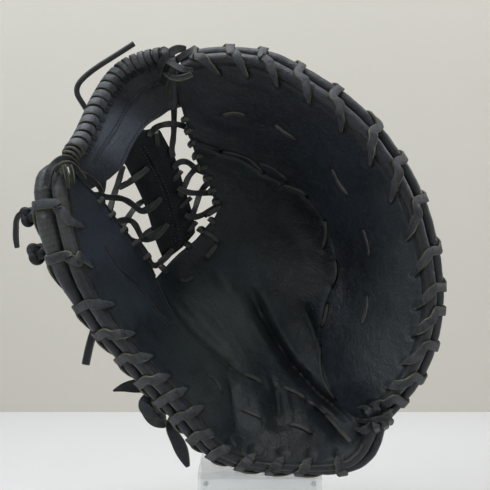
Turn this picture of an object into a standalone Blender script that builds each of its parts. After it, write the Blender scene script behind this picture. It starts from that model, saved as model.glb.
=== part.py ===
# First baseman mitt on a clear display stand. Metres, +Z up, the pocket faces -Y.
import math

import bmesh
import bpy
import numpy as np
from mathutils import Vector
from mathutils.geometry import delaunay_2d_cdt

for o in list(bpy.data.objects):
    bpy.data.objects.remove(o, do_unlink=True)

# ---------------------------------------------------------------- pattern
# The leather is drawn on a pattern: u across, w down, in pattern units. One
# unit is 0.72 mm at the middle plane, and the pattern widens toward the back.
# A third number is always the depth in mm, + toward the back of the hand.
UNIT = 0.00072
TAPER = 700.0
MID_U, MID_W = 245.0, 245.0
MID_Z = 0.215
SHIFT_X, SHIFT_Y = 0.008813, -0.020721


def place(u, w, depth):
    u, w, depth = np.broadcast_arrays(
        np.asarray(u, float), np.asarray(w, float), np.asarray(depth, float)
    )
    k = UNIT * (1 + depth / TAPER)
    return np.stack(
        [(u - MID_U) * k + SHIFT_X, depth * 0.001 + SHIFT_Y, MID_Z - (w - MID_W) * k],
        axis=-1,
    )


# Rolled bindings: u, w of the front roll and of the back roll, depth of the
# front roll, and the radius of each roll in mm.
FINGER_RIM = [
    # station       uf     wf     ub     wb   depth  rf   rb
    ("web_corner", 183.0, 67.5, 181.0, 60.5, -3, 3.9, 3.8),
    ("top_a", 204.0, 60.5, 203.0, 54.0, -8, 4.2, 4.1),
    ("top_b", 233.0, 59.0, 232.0, 52.5, -14, 4.4, 4.2),
    ("top_c", 264.5, 64.0, 267.0, 56.5, -19, 4.4, 4.2),
    ("shoulder_a", 295.3, 79.0, 299.5, 71.0, -24, 4.5, 4.3),
    ("shoulder_b", 328.0, 100.0, 334.5, 92.5, -29, 4.5, 4.3),
    ("shoulder_c", 361.0, 128.0, 368.0, 121.0, -33, 4.5, 4.3),
    ("side_a", 389.0, 164.0, 397.5, 159.0, -36, 4.5, 4.3),
    ("side_b", 410.0, 203.5, 419.0, 199.5, -38, 4.5, 4.3),
    ("side_c", 422.5, 244.0, 431.5, 241.5, -39, 4.5, 4.3),
    ("side_d", 429.0, 278.0, 437.0, 277.5, -39, 4.5, 4.3),
    ("side_e", 429.5, 311.0, 437.0, 311.5, -39, 4.5, 4.3),
    ("low_a", 423.0, 341.0, 431.0, 343.5, -38, 4.4, 4.3),
    ("low_b", 410.0, 371.5, 417.5, 376.0, -35, 4.4, 4.2),
    ("low_c", 393.0, 394.5, 400.0, 400.0, -31, 4.3, 4.1),
    ("heel_corner", 376.0, 414.0, 382.5, 420.0, -25, 4.0, 3.9),
]
HEEL_RIM = [
    # station       uf     wf     ub     wb   depth  rf   rb
    ("corner", 370.5, 433.0, 377.5, 437.5, -24, 3.9, 3.9),
    ("notch", 362.5, 449.0, 370.0, 453.0, -24, 4.1, 4.0),
    ("heel_right", 352.0, 459.5, 357.5, 463.5, -25, 4.0, 3.9),
    ("heel_a", 334.0, 464.8, 336.0, 469.0, -27, 3.8, 3.8),
    ("heel_b", 310.0, 465.6, 310.5, 469.2, -29, 3.7, 3.7),
    ("heel_c", 282.0, 464.6, 281.5, 468.2, -31, 3.7, 3.7),
    ("heel_d", 255.0, 462.0, 253.3, 466.0, -33, 3.7, 3.7),
    ("heel_e", 230.0, 455.0, 226.5, 459.3, -36, 3.9, 3.8),
    ("heel_f", 211.0, 442.5, 205.5, 447.3, -38, 4.2, 4.1),
    ("thumb_low_a", 194.5, 422.5, 187.0, 428.5, -40, 4.5, 4.4),
    ("thumb_low_b", 176.5, 401.5, 169.0, 407.0, -43, 4.5, 4.4),
    ("thumb_low_c", 154.5, 378.5, 147.0, 384.0, -46, 4.5, 4.5),
    ("thumb_mid_a", 129.5, 350.0, 121.5, 355.0, -50, 4.5, 4.6),
    ("thumb_mid_b", 107.5, 324.0, 99.0, 328.5, -53, 4.5, 4.8),
    ("thumb_mid_c", 90.5, 297.0, 80.5, 301.5, -56, 4.5, 5.4),
    ("thumb_mid_d", 79.5, 275.0, 67.0, 278.5, -58, 4.5, 6.2),
    ("thumb_up_a", 71.0, 249.0, 56.0, 251.5, -59, 4.6, 7.0),
    ("thumb_up_b", 64.5, 222.0, 48.0, 223.5, -58, 4.8, 7.3),
    ("thumb_up_c", 60.5, 199.0, 45.0, 200.0, -56, 4.9, 7.0),
    ("thumb_up_d", 59.0, 183.0, 44.5, 183.0, -53, 4.7, 6.4),
    ("thumb_tip", 60.5, 173.5, 48.5, 173.0, -50, 4.1, 5.2),
    ("thumb_tie", 63.5, 167.5, 55.0, 166.0, -48, 3.0, 3.2),
]

# Front skin: depth at named places of the pattern.
SKIN = [
    # place             u      w   depth
    ("finger_top_a", 205, 108, 14),
    ("finger_top_b", 243, 106, 9),
    ("finger_top_c", 285, 122, 6),
    ("finger_mid_a", 325, 150, 1),
    ("finger_mid_b", 355, 190, -4),
    ("finger_mid_c", 374, 240, -6),
    ("finger_mid_d", 380, 290, -7),
    ("finger_mid_e", 372, 340, -9),
    ("finger_low", 352, 385, -6),
    ("seam_a", 196, 142, 34),
    ("seam_b", 219, 153, 43),
    ("seam_c", 261, 172, 48),
    ("seam_d", 306, 197, 46),
    ("seam_e", 327, 225, 42),
    ("seam_f", 336, 275, 36),
    ("seam_g", 324, 305, 37),
    ("seam_h", 321, 347, 31),
    ("seam_i", 335, 399, 8),
    ("seam_j", 360, 425, -10),
    ("web_edge_a", 182, 111, 21),
    ("web_edge_b", 197, 164, 46),
    ("web_edge_c", 217, 212, 63),
    ("pocket_a", 250, 235, 69),
    ("pocket_b", 280, 230, 64),
    ("pocket_c", 250, 287, 61),
    ("pocket_d", 290, 290, 53),
    ("pocket_e", 272, 337, 48),
    ("pocket_f", 300, 375, 29),
    ("pocket_g", 331, 408, 7),
    ("pocket_h", 235, 310, 53),
    ("pocket_i", 205, 295, 53),
    ("pocket_j", 250, 350, 38),
    ("base_a", 156, 279, 36),
    ("base_b", 171, 261, 53),
    ("base_c", 197, 238, 65),
    ("thumb_edge_a", 89, 188, -27),
    ("thumb_edge_b", 105, 204, -13),
    ("thumb_edge_c", 119, 224, 0),
    ("thumb_edge_d", 135, 242, 13),
    ("thumb_edge_e", 149, 262, 26),
    ("thumb_face_a", 95, 235, -32),
    ("thumb_face_b", 118, 268, -20),
    ("thumb_face_c", 145, 310, -8),
    ("thumb_face_d", 168, 350, -8),
    ("crease_a", 187, 325, 31),
    ("crease_b", 219, 353, 27),
    ("crease_c", 245, 378, 20),
    ("heel_pad_a", 195, 385, -13),
    ("heel_pad_b", 222, 405, -8),
    ("heel_pad_c", 255, 408, 0),
    ("heel_pad_d", 292, 412, -1),
    ("heel_pad_e", 322, 428, -8),
    ("heel_low_a", 250, 435, -19),
    ("heel_low_b", 295, 438, -18),
]

# Folds of the front skin: path, depth in mm (+ sinks), half width in units.
FOLDS = [
    ("main_groove", [(246, 280), (272, 337), (300, 375), (331, 405), (356, 424)], 6.5, 6.0),
    ("second_groove", [(300, 297), (314, 335), (328, 388)], 3.2, 7.0),
    ("pocket_ridge", [(222, 270), (238, 306), (264, 336), (290, 372)], -3.0, 10.0),
    ("thumb_crease", [(150, 284), (187, 325), (219, 355), (246, 380)], 4.0, 7.0),
    ("heel_dent_a", [(231, 378), (234, 408), (238, 438)], 3.6, 8.0),
    ("heel_dent_b", [(276, 384), (277, 408), (281, 434)], 3.6, 8.0),
    ("heel_dent_c", [(312, 404), (328, 424), (342, 442)], 3.0, 7.0),
    ("thumb_wave", [(108, 249), (124, 274), (150, 303), (170, 324)], 1.6, 4.5),
    ("finger_roll_a", [(350, 232), (356, 285), (348, 332)], 1.4, 14.0),
]

# Inner edges of the panels, in pattern units.
SEAM = [
    (191, 141), (206, 147), (219, 153), (237, 158), (261, 172), (286, 185), (306, 198),
    (320, 214), (329, 232), (335, 252), (336, 272), (331, 289), (324, 307), (321, 326),
    (320, 348), (325, 372), (335, 397), (347, 411), (362, 424),
]
WEB_EDGE_FINGER = [(191, 141), (187, 128), (183, 111), (179, 93), (177, 78)]
THUMB_EDGE = [(78, 178), (89, 188), (105, 204), (119, 223), (135, 242), (149, 262), (156, 278)]
WEB_BASE = [(156, 278), (163, 270), (171, 261), (184, 249), (197, 238), (205, 228), (214, 218)]
WEB_EDGE_POCKET = [(214, 218), (217, 211), (215, 202), (211, 191), (207, 179), (198, 164), (194, 151), (191, 141)]

# Lace holes in the panels and the tops of the lace over the rolls.
FINGER_HOLES = [
    # hole u, w        lace top u, w
    (217.5, 73.0, 194, 50), (246.5, 75.0, 231, 45), (277, 85, 265, 49), (309, 102, 302.5, 63),
    (341, 130, 340, 85), (370, 163.5, 375, 114.6), (390.5, 200, 405.5, 154), (407, 238, 427, 196),
    (414.5, 274, 439.5, 240), (416.5, 307, 445, 280), (412, 335, 444, 312), (403.0, 363.0, 437, 347),
    (388, 387, 424, 380), (371.5, 404, 408, 404),
]
HEEL_HOLES = [
    (338, 453.0, 341, 475), (310, 454.3, 300, 475), (282, 453.3, 270, 474), (254, 450.0, 240, 468),
    (229, 443.3, 211, 456), (212, 431, 187, 438), (202, 407, 171, 423), (185, 389, 155, 405),
    (168, 375.5, 134, 387), (151, 356, 113, 363), (132.5, 333, 95, 337), (112.5, 304, 73, 305),
    (91, 266, 50, 251), (82, 226, 33, 206),
]


# ---------------------------------------------------------------- curves
def spline(rows, n):
    """n rows along a natural cubic curve through the rows."""
    p = np.array(rows, float)
    h = np.maximum(np.linalg.norm(np.diff(p[:, :2], axis=0), axis=1), 1e-6)
    s = np.concatenate([[0], np.cumsum(h)])
    k = len(p)
    a, b = np.eye(k), np.zeros_like(p)
    for i in range(1, k - 1):
        a[i, i - 1], a[i, i], a[i, i + 1] = h[i - 1], 2 * (h[i - 1] + h[i]), h[i]
        b[i] = 6 * ((p[i + 1] - p[i]) / h[i] - (p[i] - p[i - 1]) / h[i - 1])
    m = np.linalg.solve(a, b)
    t = np.linspace(0, s[-1], n)
    i = np.clip(np.searchsorted(s, t, side="right") - 1, 0, k - 2)
    hi = h[i][:, None]
    q, r = ((s[i + 1] - t) / h[i])[:, None], ((t - s[i]) / h[i])[:, None]
    return q * p[i] + r * p[i + 1] + ((q**3 - q) * m[i] + (r**3 - r) * m[i + 1]) * hi**2 / 6


def evenly(points, step):
    """The line again, with points about step apart."""
    p = np.array(points, float)
    s = np.concatenate([[0], np.cumsum(np.linalg.norm(np.diff(p[:, :2], axis=0), axis=1))])
    t = np.linspace(0, s[-1], max(2, int(round(s[-1] / step)) + 1))
    return np.stack([np.interp(t, s, p[:, j]) for j in range(p.shape[1])], axis=1)


def to_line(points, line):
    """Distance of each point to a line of points, and how far along it is, 0 to 1."""
    p, q = np.asarray(points, float)[:, :2], np.asarray(line, float)[:, :2]
    a, d = q[:-1], np.diff(q, axis=0)
    seg = np.linalg.norm(d, axis=1)
    start = np.concatenate([[0], np.cumsum(seg)])
    rel = p[:, None, :] - a[None]
    t = np.clip((rel * d[None]).sum(2) / np.maximum(seg**2, 1e-12)[None], 0, 1)
    far = np.linalg.norm(rel - t[..., None] * d[None], axis=2)
    i = far.argmin(1)
    rows = np.arange(len(p))
    return far[rows, i], (start[i] + t[rows, i] * seg[i]) / start[-1]


def inside(points, loop):
    """Whether each point is inside the loop."""
    p, q = np.asarray(points, float), np.asarray(loop, float)
    x, y = p[:, 0][:, None], p[:, 1][:, None]
    x1, y1 = q[:, 0][None], q[:, 1][None]
    x2, y2 = np.roll(q[:, 0], -1)[None], np.roll(q[:, 1], -1)[None]
    cross = ((y1 > y) != (y2 > y)) & (
        x < (x2 - x1) * (y - y1) / np.where(y2 == y1, 1e-12, y2 - y1) + x1
    )
    return cross.sum(1) % 2 == 1


def rim_rows(table, n):
    """Along a rim: uf, wf, ub, wb, depth front, rf, rb and depth back, n rows."""
    r = spline([row[1:] for row in table], n)
    apart = np.hypot(r[:, 0] - r[:, 2], r[:, 1] - r[:, 3]) * UNIT * 1000 * (1 + r[:, 4] / TAPER)
    need = r[:, 5] + r[:, 6] + 0.5
    back = r[:, 4] + np.sqrt(np.maximum(need**2 - apart**2, 1.0))
    return np.column_stack([r, back])


FINGER = rim_rows(FINGER_RIM, 200)
HEEL = rim_rows(HEEL_RIM, 260)


def inset(line, by, side):
    """A line moved sideways in the pattern; side is +1 or -1."""
    t = np.gradient(line[:, :2], axis=0)
    t /= np.maximum(np.linalg.norm(t, axis=1), 1e-9)[:, None]
    n = np.stack([-t[:, 1], t[:, 0]], axis=1) * side
    by = np.broadcast_to(by, (len(line),))[:, None]
    return line[:, :2] + n * by


def units(mm, depth):
    return mm / (UNIT * 1000 * (1 + depth / TAPER))


# The panels start beside the front roll; the back shells beside the back roll.
FINGER_LINE = inset(FINGER[:, 0:2], units(FINGER[:, 5] + 0.45, FINGER[:, 4]), 1)
HEEL_LINE = inset(HEEL[:, 0:2], units(HEEL[:, 5] + 0.45, HEEL[:, 4]), 1)
FINGER_SHELL_LINE = inset(FINGER[:, 2:4], units(FINGER[:, 6] + 0.6, FINGER[:, 7]), 1)
HEEL_SHELL_LINE = inset(HEEL[:, 2:4], units(HEEL[:, 6] + 0.6, HEEL[:, 7]), 1)


# ---------------------------------------------------------------- surfaces
class Field:
    """A smooth depth over the pattern through given rows of u, w, depth."""

    def __init__(self, rows, soft):
        r = np.array(rows, float)
        self.c = r[:, :2] / 100
        n = len(r)
        a = np.zeros((n + 3, n + 3))
        a[:n, :n] = self.kernel(self.c) + soft * np.eye(n)
        a[:n, n], a[:n, n + 1 : n + 3] = 1, self.c
        a[n:, :n] = a[:n, n:].T
        self.k = np.linalg.solve(a, np.concatenate([r[:, 2], np.zeros(3)]))

    def kernel(self, p):
        d2 = ((p[:, None] - self.c[None]) ** 2).sum(2)
        return 0.5 * d2 * np.log(np.maximum(d2, 1e-12))

    def at(self, points):
        p = np.asarray(points, float)[:, :2] / 100
        out = np.empty(len(p))
        for i in range(0, len(p), 4000):
            q = p[i : i + 4000]
            out[i : i + 4000] = self.kernel(q) @ self.k[:-3] + self.k[-3] + q @ self.k[-2:]
        return out


def skin_rows():
    rows = [row[1:] for row in SKIN]
    for rim, line, count in ((FINGER, FINGER_LINE, 16), (HEEL, HEEL_LINE, 22)):
        for i in np.linspace(2, len(rim) - 3, count).astype(int):
            rows.append((line[i, 0], line[i, 1], rim[i, 4] + 1.5))
    return rows


SKIN_FIELD = Field(skin_rows(), 0.004)


def folds(points):
    out = np.zeros(len(points))
    for _, path, deep, wide in FOLDS:
        far, along = to_line(points, spline(path, 24))
        taper = np.clip(np.minimum(along, 1 - along) * 5, 0, 1)
        out += deep * np.exp(-((far / wide) ** 2)) * taper * taper * (3 - 2 * taper)
    return out


def slant(field, points):
    """How many times longer a wall is measured along the depth than across it."""
    e = 2.0
    p = np.asarray(points, float)[:, :2]
    du = (field.at(p + [e, 0]) - field.at(p - [e, 0])) / (2 * e * UNIT * 1000)
    dw = (field.at(p + [0, e]) - field.at(p - [0, e])) / (2 * e * UNIT * 1000)
    return np.minimum(np.sqrt(1 + du**2 + dw**2), 2.2)


def rim_distance(points):
    f, sf = to_line(points, FINGER_LINE[::4])
    h, sh = to_line(points, HEEL_LINE[::4])
    depth = np.where(
        f < h,
        np.interp(sf, np.linspace(0, 1, len(FINGER)), FINGER[:, 4]),
        np.interp(sh, np.linspace(0, 1, len(HEEL)), HEEL[:, 4]),
    )
    return np.minimum(f, h), depth


def wall_mm(points):
    """Thickness of the padded front wall, in mm."""
    far, _ = rim_distance(points)
    p = np.asarray(points, float)
    hollow = np.exp(-(((p[:, 0] - 240) / 62) ** 2) - ((p[:, 1] - 245) / 62) ** 2)
    return 3.0 + (5.5 - 3.5 * hollow) * np.clip((far - 8) / 30, 0, 1)


def front(points):
    return SKIN_FIELD.at(points) + folds(points)


def front_back(points):
    """The back face of the front wall; it follows the folds only a little."""
    return SKIN_FIELD.at(points) + 0.5 * folds(points) + wall_mm(points) * slant(SKIN_FIELD, points)


def shell_face(points, closed, room, rise=22.0):
    """Inner face of a back shell: room mm of hollow behind the front wall, closed at its closed edges."""
    p = np.asarray(points, float)
    far = np.min([to_line(p, line)[0] for line in closed], axis=0)
    lift = 1 - np.exp(-((np.maximum(far - 7, 0) / rise) ** 1.6))
    base = front_back(p) + 1.9 + room * slant(SKIN_FIELD, p) * lift
    near, rim = rim_distance(p)
    floor = rim + 7.2
    k = 1.2
    return k * np.logaddexp(base / k, floor / k)


# ---------------------------------------------------------------- meshes
def material(name, colour, rough, metal=0.0, alpha=1.0):
    m = bpy.data.materials.new(name)
    m.use_nodes = True
    b = m.node_tree.nodes["Principled BSDF"]
    b.inputs["Base Color"].default_value = (*colour, 1)
    b.inputs["Roughness"].default_value = rough
    b.inputs["Metallic"].default_value = metal
    b.inputs["Alpha"].default_value = alpha
    m.diffuse_color = (*colour, alpha)
    return m


LEATHER = (0.020, 0.024, 0.030)
LACE = (0.045, 0.048, 0.050)


def collect(obj, colour, rough=0.5, metal=0.0, alpha=1.0):
    c = bpy.data.collections.new(obj.name)
    bpy.context.scene.collection.children.link(c)
    c.objects.link(obj)
    obj.data.materials.clear()
    obj.data.materials.append(material("mat_" + obj.name, colour, rough, metal, alpha))
    return obj


def mesh_object(name, verts, faces, colour, **look):
    me = bpy.data.meshes.new(name)
    me.from_pydata([tuple(v) for v in verts], [], faces)
    me.update()
    o = bpy.data.objects.new(name, me)
    return collect(o, colour, **look)


def circle(u, w, r, n=8):
    a = np.arange(n) * 2 * math.pi / n + 0.2
    return np.stack([u + r * np.cos(a), w + r * np.sin(a)], axis=1)


def net(loop, holes, step):
    """Points and triangles that fill a closed loop and leave its holes open."""
    loop = np.asarray(loop, float)
    rings = [loop] + [np.asarray(h, float) for h in holes]
    lo, hi = loop.min(0), loop.max(0)
    rows = np.arange(lo[1], hi[1], step * 0.866)
    grid = np.concatenate(
        [
            np.stack([np.arange(lo[0] + (i % 2) * step / 2, hi[0], step), np.full(len(np.arange(lo[0] + (i % 2) * step / 2, hi[0], step)), y)], 1)
            for i, y in enumerate(rows)
        ]
    )
    grid = grid[inside(grid, loop)]
    grid = grid[to_line(grid, np.vstack([loop, loop[:1]]))[0] > step * 0.6]
    for h in rings[1:]:
        ring = np.vstack([h, h[:1]])
        grid = grid[(to_line(grid, ring)[0] > step * 0.45) & ~inside(grid, h)]
    coords, edges = [], []
    for r in rings:
        at = len(coords)
        coords += [Vector(map(float, p)) for p in r]
        edges += [(at + i, at + (i + 1) % len(r)) for i in range(len(r))]
    coords += [Vector(map(float, p)) for p in grid]
    out = delaunay_2d_cdt(coords, edges, [], 0, 1e-5)
    pts = np.array([tuple(v) for v in out[0]])
    tri = np.array([f for f in out[2] if len(f) == 3], int)
    mid = pts[tri].mean(1)
    keep = inside(mid, loop)
    for h in rings[1:]:
        keep &= ~inside(mid, h)
    tri = tri[keep]
    a, b, c = pts[tri[:, 0]], pts[tri[:, 1]], pts[tri[:, 2]]
    area = (b[:, 0] - a[:, 0]) * (c[:, 1] - a[:, 1]) - (b[:, 1] - a[:, 1]) * (c[:, 0] - a[:, 0])
    tri[area < 0] = tri[area < 0][:, ::-1]
    used = np.unique(tri)
    back = np.full(len(pts), -1)
    back[used] = np.arange(len(used))
    return pts[used], back[tri]


def wall(name, loop, holes, step, face_front, face_back, colour=LEATHER, **look):
    """A closed wall between two depth surfaces over the same loop."""
    pts, tri = net(loop, holes, step)
    n = len(pts)
    verts = np.vstack([place(pts[:, 0], pts[:, 1], face_front(pts)), place(pts[:, 0], pts[:, 1], face_back(pts))])
    faces = [tuple(t[::-1]) for t in tri] + [tuple(t + n) for t in tri]
    seen = {}
    for t in tri:
        for i in range(3):
            a, b = int(t[i]), int(t[(i + 1) % 3])
            seen[(a, b)] = True
    for a, b in seen:
        if (b, a) not in seen:
            faces.append((a, b, b + n, a + n))
    return mesh_object(name, verts, [tuple(int(i) for i in f) for f in faces], colour, **look)


def tube(name, path, radii, sides, colour, **look):
    """A capped round roll along a path, its radius in metres at each point."""
    c = bpy.data.curves.new(name + "_path", "CURVE")
    c.dimensions = "3D"
    s = c.splines.new("POLY")
    s.points.add(len(path) - 1)
    base = float(np.max(radii))
    for i, p in enumerate(path):
        s.points[i].co = (*map(float, p), 1)
        s.points[i].radius = float(np.broadcast_to(radii, (len(path),))[i]) / base
    c.bevel_depth = base
    c.bevel_resolution = max(0, sides // 4 - 1) if sides > 4 else 0
    c.use_fill_caps = True
    c.twist_mode = "MINIMUM"
    src = bpy.data.objects.new(name + "_path", c)
    bpy.context.scene.collection.objects.link(src)
    me = bpy.data.meshes.new_from_object(src.evaluated_get(bpy.context.evaluated_depsgraph_get()))
    bpy.data.objects.remove(src, do_unlink=True)
    me.name = name
    o = bpy.data.objects.new(name, me)
    weld(o.data)
    return collect(o, colour, **look)


def weld(me):
    bm = bmesh.new()
    bm.from_mesh(me)
    bmesh.ops.remove_doubles(bm, verts=bm.verts, dist=0.00002)
    bmesh.ops.recalc_face_normals(bm, faces=bm.faces)
    bm.to_mesh(me)
    bm.free()


def unit(v):
    return v / np.maximum(np.linalg.norm(v, axis=-1, keepdims=True), 1e-12)


def strap_mesh(path, across, wide, thick):
    """A flat lace with square ends: width direction, width and thickness at each point."""
    p = np.asarray(path, float)
    t = unit(np.gradient(p, axis=0))
    a = np.broadcast_to(np.asarray(across, float), p.shape)
    a = unit(a - (a * t).sum(1, keepdims=True) * t)
    n = np.cross(t, a)
    w = np.broadcast_to(wide, (len(p),))[:, None] / 2
    h = np.broadcast_to(thick, (len(p),))[:, None] / 2
    ring = np.stack([p - a * w - n * h, p + a * w - n * h, p + a * w + n * h, p - a * w + n * h], axis=1)
    verts = ring.reshape(-1, 3)
    faces = []
    for i in range(len(p) - 1):
        for j in range(4):
            k = (j + 1) % 4
            faces.append((4 * i + j, 4 * i + k, 4 * i + 4 + k, 4 * i + 4 + j))
    faces += [(3, 2, 1, 0), tuple(4 * (len(p) - 1) + j for j in range(4))]
    return verts, faces


def strap(name, path, across, wide, thick, colour=LACE, **look):
    verts, faces = strap_mesh(path, across, wide, thick)
    o = mesh_object(name, verts, faces, colour, **look)
    weld(o.data)
    return o


# ---------------------------------------------------------------- front panels
def ring_of(*lines):
    out = []
    for line in lines:
        for p in line:
            if not out or np.hypot(out[-1][0] - p[0], out[-1][1] - p[1]) > 1.2:
                out.append((float(p[0]), float(p[1])))
    if np.hypot(out[0][0] - out[-1][0], out[0][1] - out[-1][1]) < 1.2:
        out.pop()
    return out


STEP = 11.0
GAP = 0.55
seam = spline(SEAM, 60)
finger_side = inset(seam, GAP, -1)
pocket_side = inset(seam, GAP, 1)

finger_loop = ring_of(
    evenly(FINGER_LINE[2:-3], STEP),
    evenly(finger_side[::-1], STEP),
    evenly(spline(WEB_EDGE_FINGER, 20), STEP)[1:],
)
palm_loop = ring_of(
    evenly(HEEL_LINE[4:-2], STEP),
    evenly(spline(THUMB_EDGE, 30), STEP),
    evenly(spline(WEB_BASE, 20), STEP),
    evenly(spline(WEB_EDGE_POCKET, 20), STEP)[:-1],
    evenly(pocket_side, STEP)[1:],
)
HOLE_R = 3.3
wall("finger_panel", finger_loop, [circle(u, w, HOLE_R) for u, w, _, _ in FINGER_HOLES], STEP, front, front_back)
wall("palm_panel", palm_loop, [circle(u, w, HOLE_R) for u, w, _, _ in HEEL_HOLES], STEP, front, front_back)

# ---------------------------------------------------------------- rolls
for side, rim in (("finger", FINGER), ("heel", HEEL)):
    rows = rim[:: 4 if side == "finger" else 5]
    rows = np.vstack([rows, rim[-1:]]) if not np.allclose(rows[-1], rim[-1]) else rows
    tube(side + "_front_roll", place(rows[:, 0], rows[:, 1], rows[:, 4]), rows[:, 5] * 0.001, 8, LEATHER)
    tube(side + "_back_roll", place(rows[:, 2], rows[:, 3], rows[:, 7]), rows[:, 6] * 0.001, 8, LEATHER)

# ---------------------------------------------------------------- back shells
cut = lambda line, a, b: line[int(a * len(line)) : int(b * len(line))]
finger_open = [(431, 320), (412, 322), (390, 332), (360, 340), (328, 340), (303, 336)]
finger_inner = [(303, 336), (288, 314), (272, 290), (256, 266), (242, 244), (231, 224)]
FINGER_SHELL_END = int(np.argmin(np.hypot(FINGER_SHELL_LINE[:, 0] - finger_open[0][0], FINGER_SHELL_LINE[:, 1] - finger_open[0][1]))) / len(FINGER)
finger_closed = [FINGER_SHELL_LINE[::6], spline(finger_inner, 20), spline(WEB_EDGE_POCKET, 20), spline(WEB_EDGE_FINGER, 12)]
finger_back_loop = ring_of(
    evenly(cut(FINGER_SHELL_LINE, 0.02, FINGER_SHELL_END), 12),
    evenly(spline(finger_open, 20), 12)[1:],
    evenly(spline(finger_inner, 20), 12),
    evenly(inset(spline(WEB_EDGE_POCKET + WEB_EDGE_FINGER[1:], 60), 9.5, 1), 12)[2:],
)
ROOM = 20.0


def shell_pair(closed, room, rise=22.0, skin=2.2):
    f = lambda p: shell_face(p, closed, room, rise)
    b = lambda p: shell_face(p, closed, room, rise) + skin * np.minimum(slant(SKIN_FIELD, p), 1.7)
    return f, b


ff, fb = shell_pair(finger_closed, ROOM)
# Two seams part the back into three panels, each from the opening up to the rim.
BACK_SEAMS = [
    [(377, 350), (374, 336.5), (364, 290), (344, 232), (316, 180), (286, 120), (270, 84), (260, 50)],
    [(325, 352), (322, 339.5), (306, 296), (282, 250), (252, 200), (226, 150), (210, 100), (202, 48)],
]
BACK_NAMES = ["finger_back_outer", "finger_back_middle", "finger_back_inner"]


def part_loop(loop, line, side, gap=0.55):
    """The part of a loop on one side of a line that crosses it from end to end."""
    loop, line = np.asarray(loop, float), np.asarray(line, float)
    edge = inset(line, gap / 2, 1 if side > 0 else -1)
    where = []
    for p in loop:
        far, _ = to_line([p], line)
        i = int(np.argmin(np.hypot(*(line[:-1] + line[1:] - 2 * p).T)))
        d = line[i + 1] - line[i]
        where.append((d[0] * (p[1] - line[i, 1]) - d[1] * (p[0] - line[i, 0])) * side > 0 and far[0] > 3.0)
    k = len(loop)
    start = next(i for i in range(k) if where[i] and not where[i - 1])
    run = []
    while where[start % k]:
        run.append(loop[start % k])
        start += 1
    run = np.array(run)
    cut_in = edge[inside(edge, loop)]
    if np.hypot(*(cut_in[0] - run[-1])) > np.hypot(*(cut_in[-1] - run[-1])):
        cut_in = cut_in[::-1]
    return ring_of(run, evenly(cut_in, 12))


seam_1, seam_2 = (evenly(spline(path, 60), 3.0) for path in BACK_SEAMS)
rest = part_loop(finger_back_loop, seam_1, -1)
BACK_LOOPS = [part_loop(finger_back_loop, seam_1, 1), part_loop(rest, seam_2, 1), part_loop(rest, seam_2, -1)]
for name, loop in zip(BACK_NAMES, BACK_LOOPS):
    in_shell = [(u, w) for u, w, _, _ in FINGER_HOLES if inside([(u, w)], loop)[0] and to_line([(u, w)], np.vstack([loop, loop[:1]]))[0][0] > 4.2]
    wall(name, loop, [circle(u, w, HOLE_R) for u, w in in_shell], 12.0, ff, fb)

thumb_open = [(142, 373), (160, 362), (180, 355), (196, 350), (206, 343)]
THUMB_SHELL_START = int(np.argmin(np.hypot(HEEL_SHELL_LINE[:, 0] - thumb_open[0][0], HEEL_SHELL_LINE[:, 1] - thumb_open[0][1]))) / len(HEEL)
thumb_inner = [(206, 343), (187, 325), (168, 305), (152, 287), (139, 268), (127, 251), (112, 233), (98, 215), (83, 199), (74, 191)]
thumb_closed = [HEEL_SHELL_LINE[::6], spline(thumb_inner, 30)]
thumb_back_loop = ring_of(
    evenly(cut(HEEL_SHELL_LINE, THUMB_SHELL_START, 0.985), 12),
    evenly(spline(thumb_inner[::-1], 40), 12),
    evenly(spline(thumb_open[::-1], 16), 12)[1:-1],
)
tf, tb = shell_pair(thumb_closed, ROOM - 1, 15.5)
in_thumb = [(u, w) for u, w, _, _ in HEEL_HOLES if inside([(u, w)], thumb_back_loop)[0] and to_line([(u, w)], np.vstack([thumb_back_loop, thumb_back_loop[:1]]))[0][0] > 5]
wall("thumb_back", thumb_back_loop, [circle(u, w, HOLE_R) for u, w in in_thumb], 12.0, tf, tb)

# ---------------------------------------------------------------- web
# Centre line of the web's top roll.
WEB_TOP = [
    (67.5, 160, -45), (73, 152, -39), (80, 141, -30), (87, 127, -18), (94, 111, -6), (103, 94, 4),
    (113, 79, 11), (127, 66.5, 15), (144, 59.5, 14), (160, 56, 9), (170.5, 55, 6),
]
WEB_SKIN = [
    # place          u    w   depth
    ("band_top_a", 77, 169, -36), ("band_top_b", 90, 146, -20), ("band_top_c", 97, 128, -8),
    ("band_top_d", 104, 112, 2), ("band_top_e", 112, 98, 10), ("band_top_f", 122, 84, 16),
    ("band_top_g", 134, 75, 19), ("band_top_h", 151, 69, 18), ("band_top_i", 172, 66, 12),
    ("band_low_a", 93, 185, -12), ("band_low_b", 117, 173, 9), ("band_low_c", 128, 155, 22),
    ("band_low_d", 142, 131, 31), ("band_low_e", 160, 117, 34), ("band_low_f", 175, 107, 30),
    ("band_mid_a", 117, 132, 13), ("band_mid_b", 150, 93, 27), ("band_mid_c", 104, 160, -3),
]
POST_SKIN = [
    ("post_top_left", 130, 150, 36), ("post_top_right", 161, 130, 43), ("post_left_a", 130, 176, 37),
    ("post_left_b", 145, 207, 46), ("post_left_c", 156, 240, 53), ("post_right_a", 174, 163, 51),
    ("post_right_b", 185, 196, 58), ("post_right_c", 194, 228, 65), ("post_mid", 158, 190, 53),
    ("post_foot_a", 164, 257, 57), ("post_foot_b", 180, 247, 63),
]
WEB_FIELD = Field([r[1:] for r in WEB_SKIN], 0.002)
POST_FIELD = Field([r[1:] for r in POST_SKIN], 0.002)
BAND_LOW = [(174, 105), (168, 111), (160, 117), (150, 123), (142, 131), (134, 143), (128, 155), (123, 166), (115, 174), (105, 181), (94, 186), (85, 181), (79, 173)]
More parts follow.
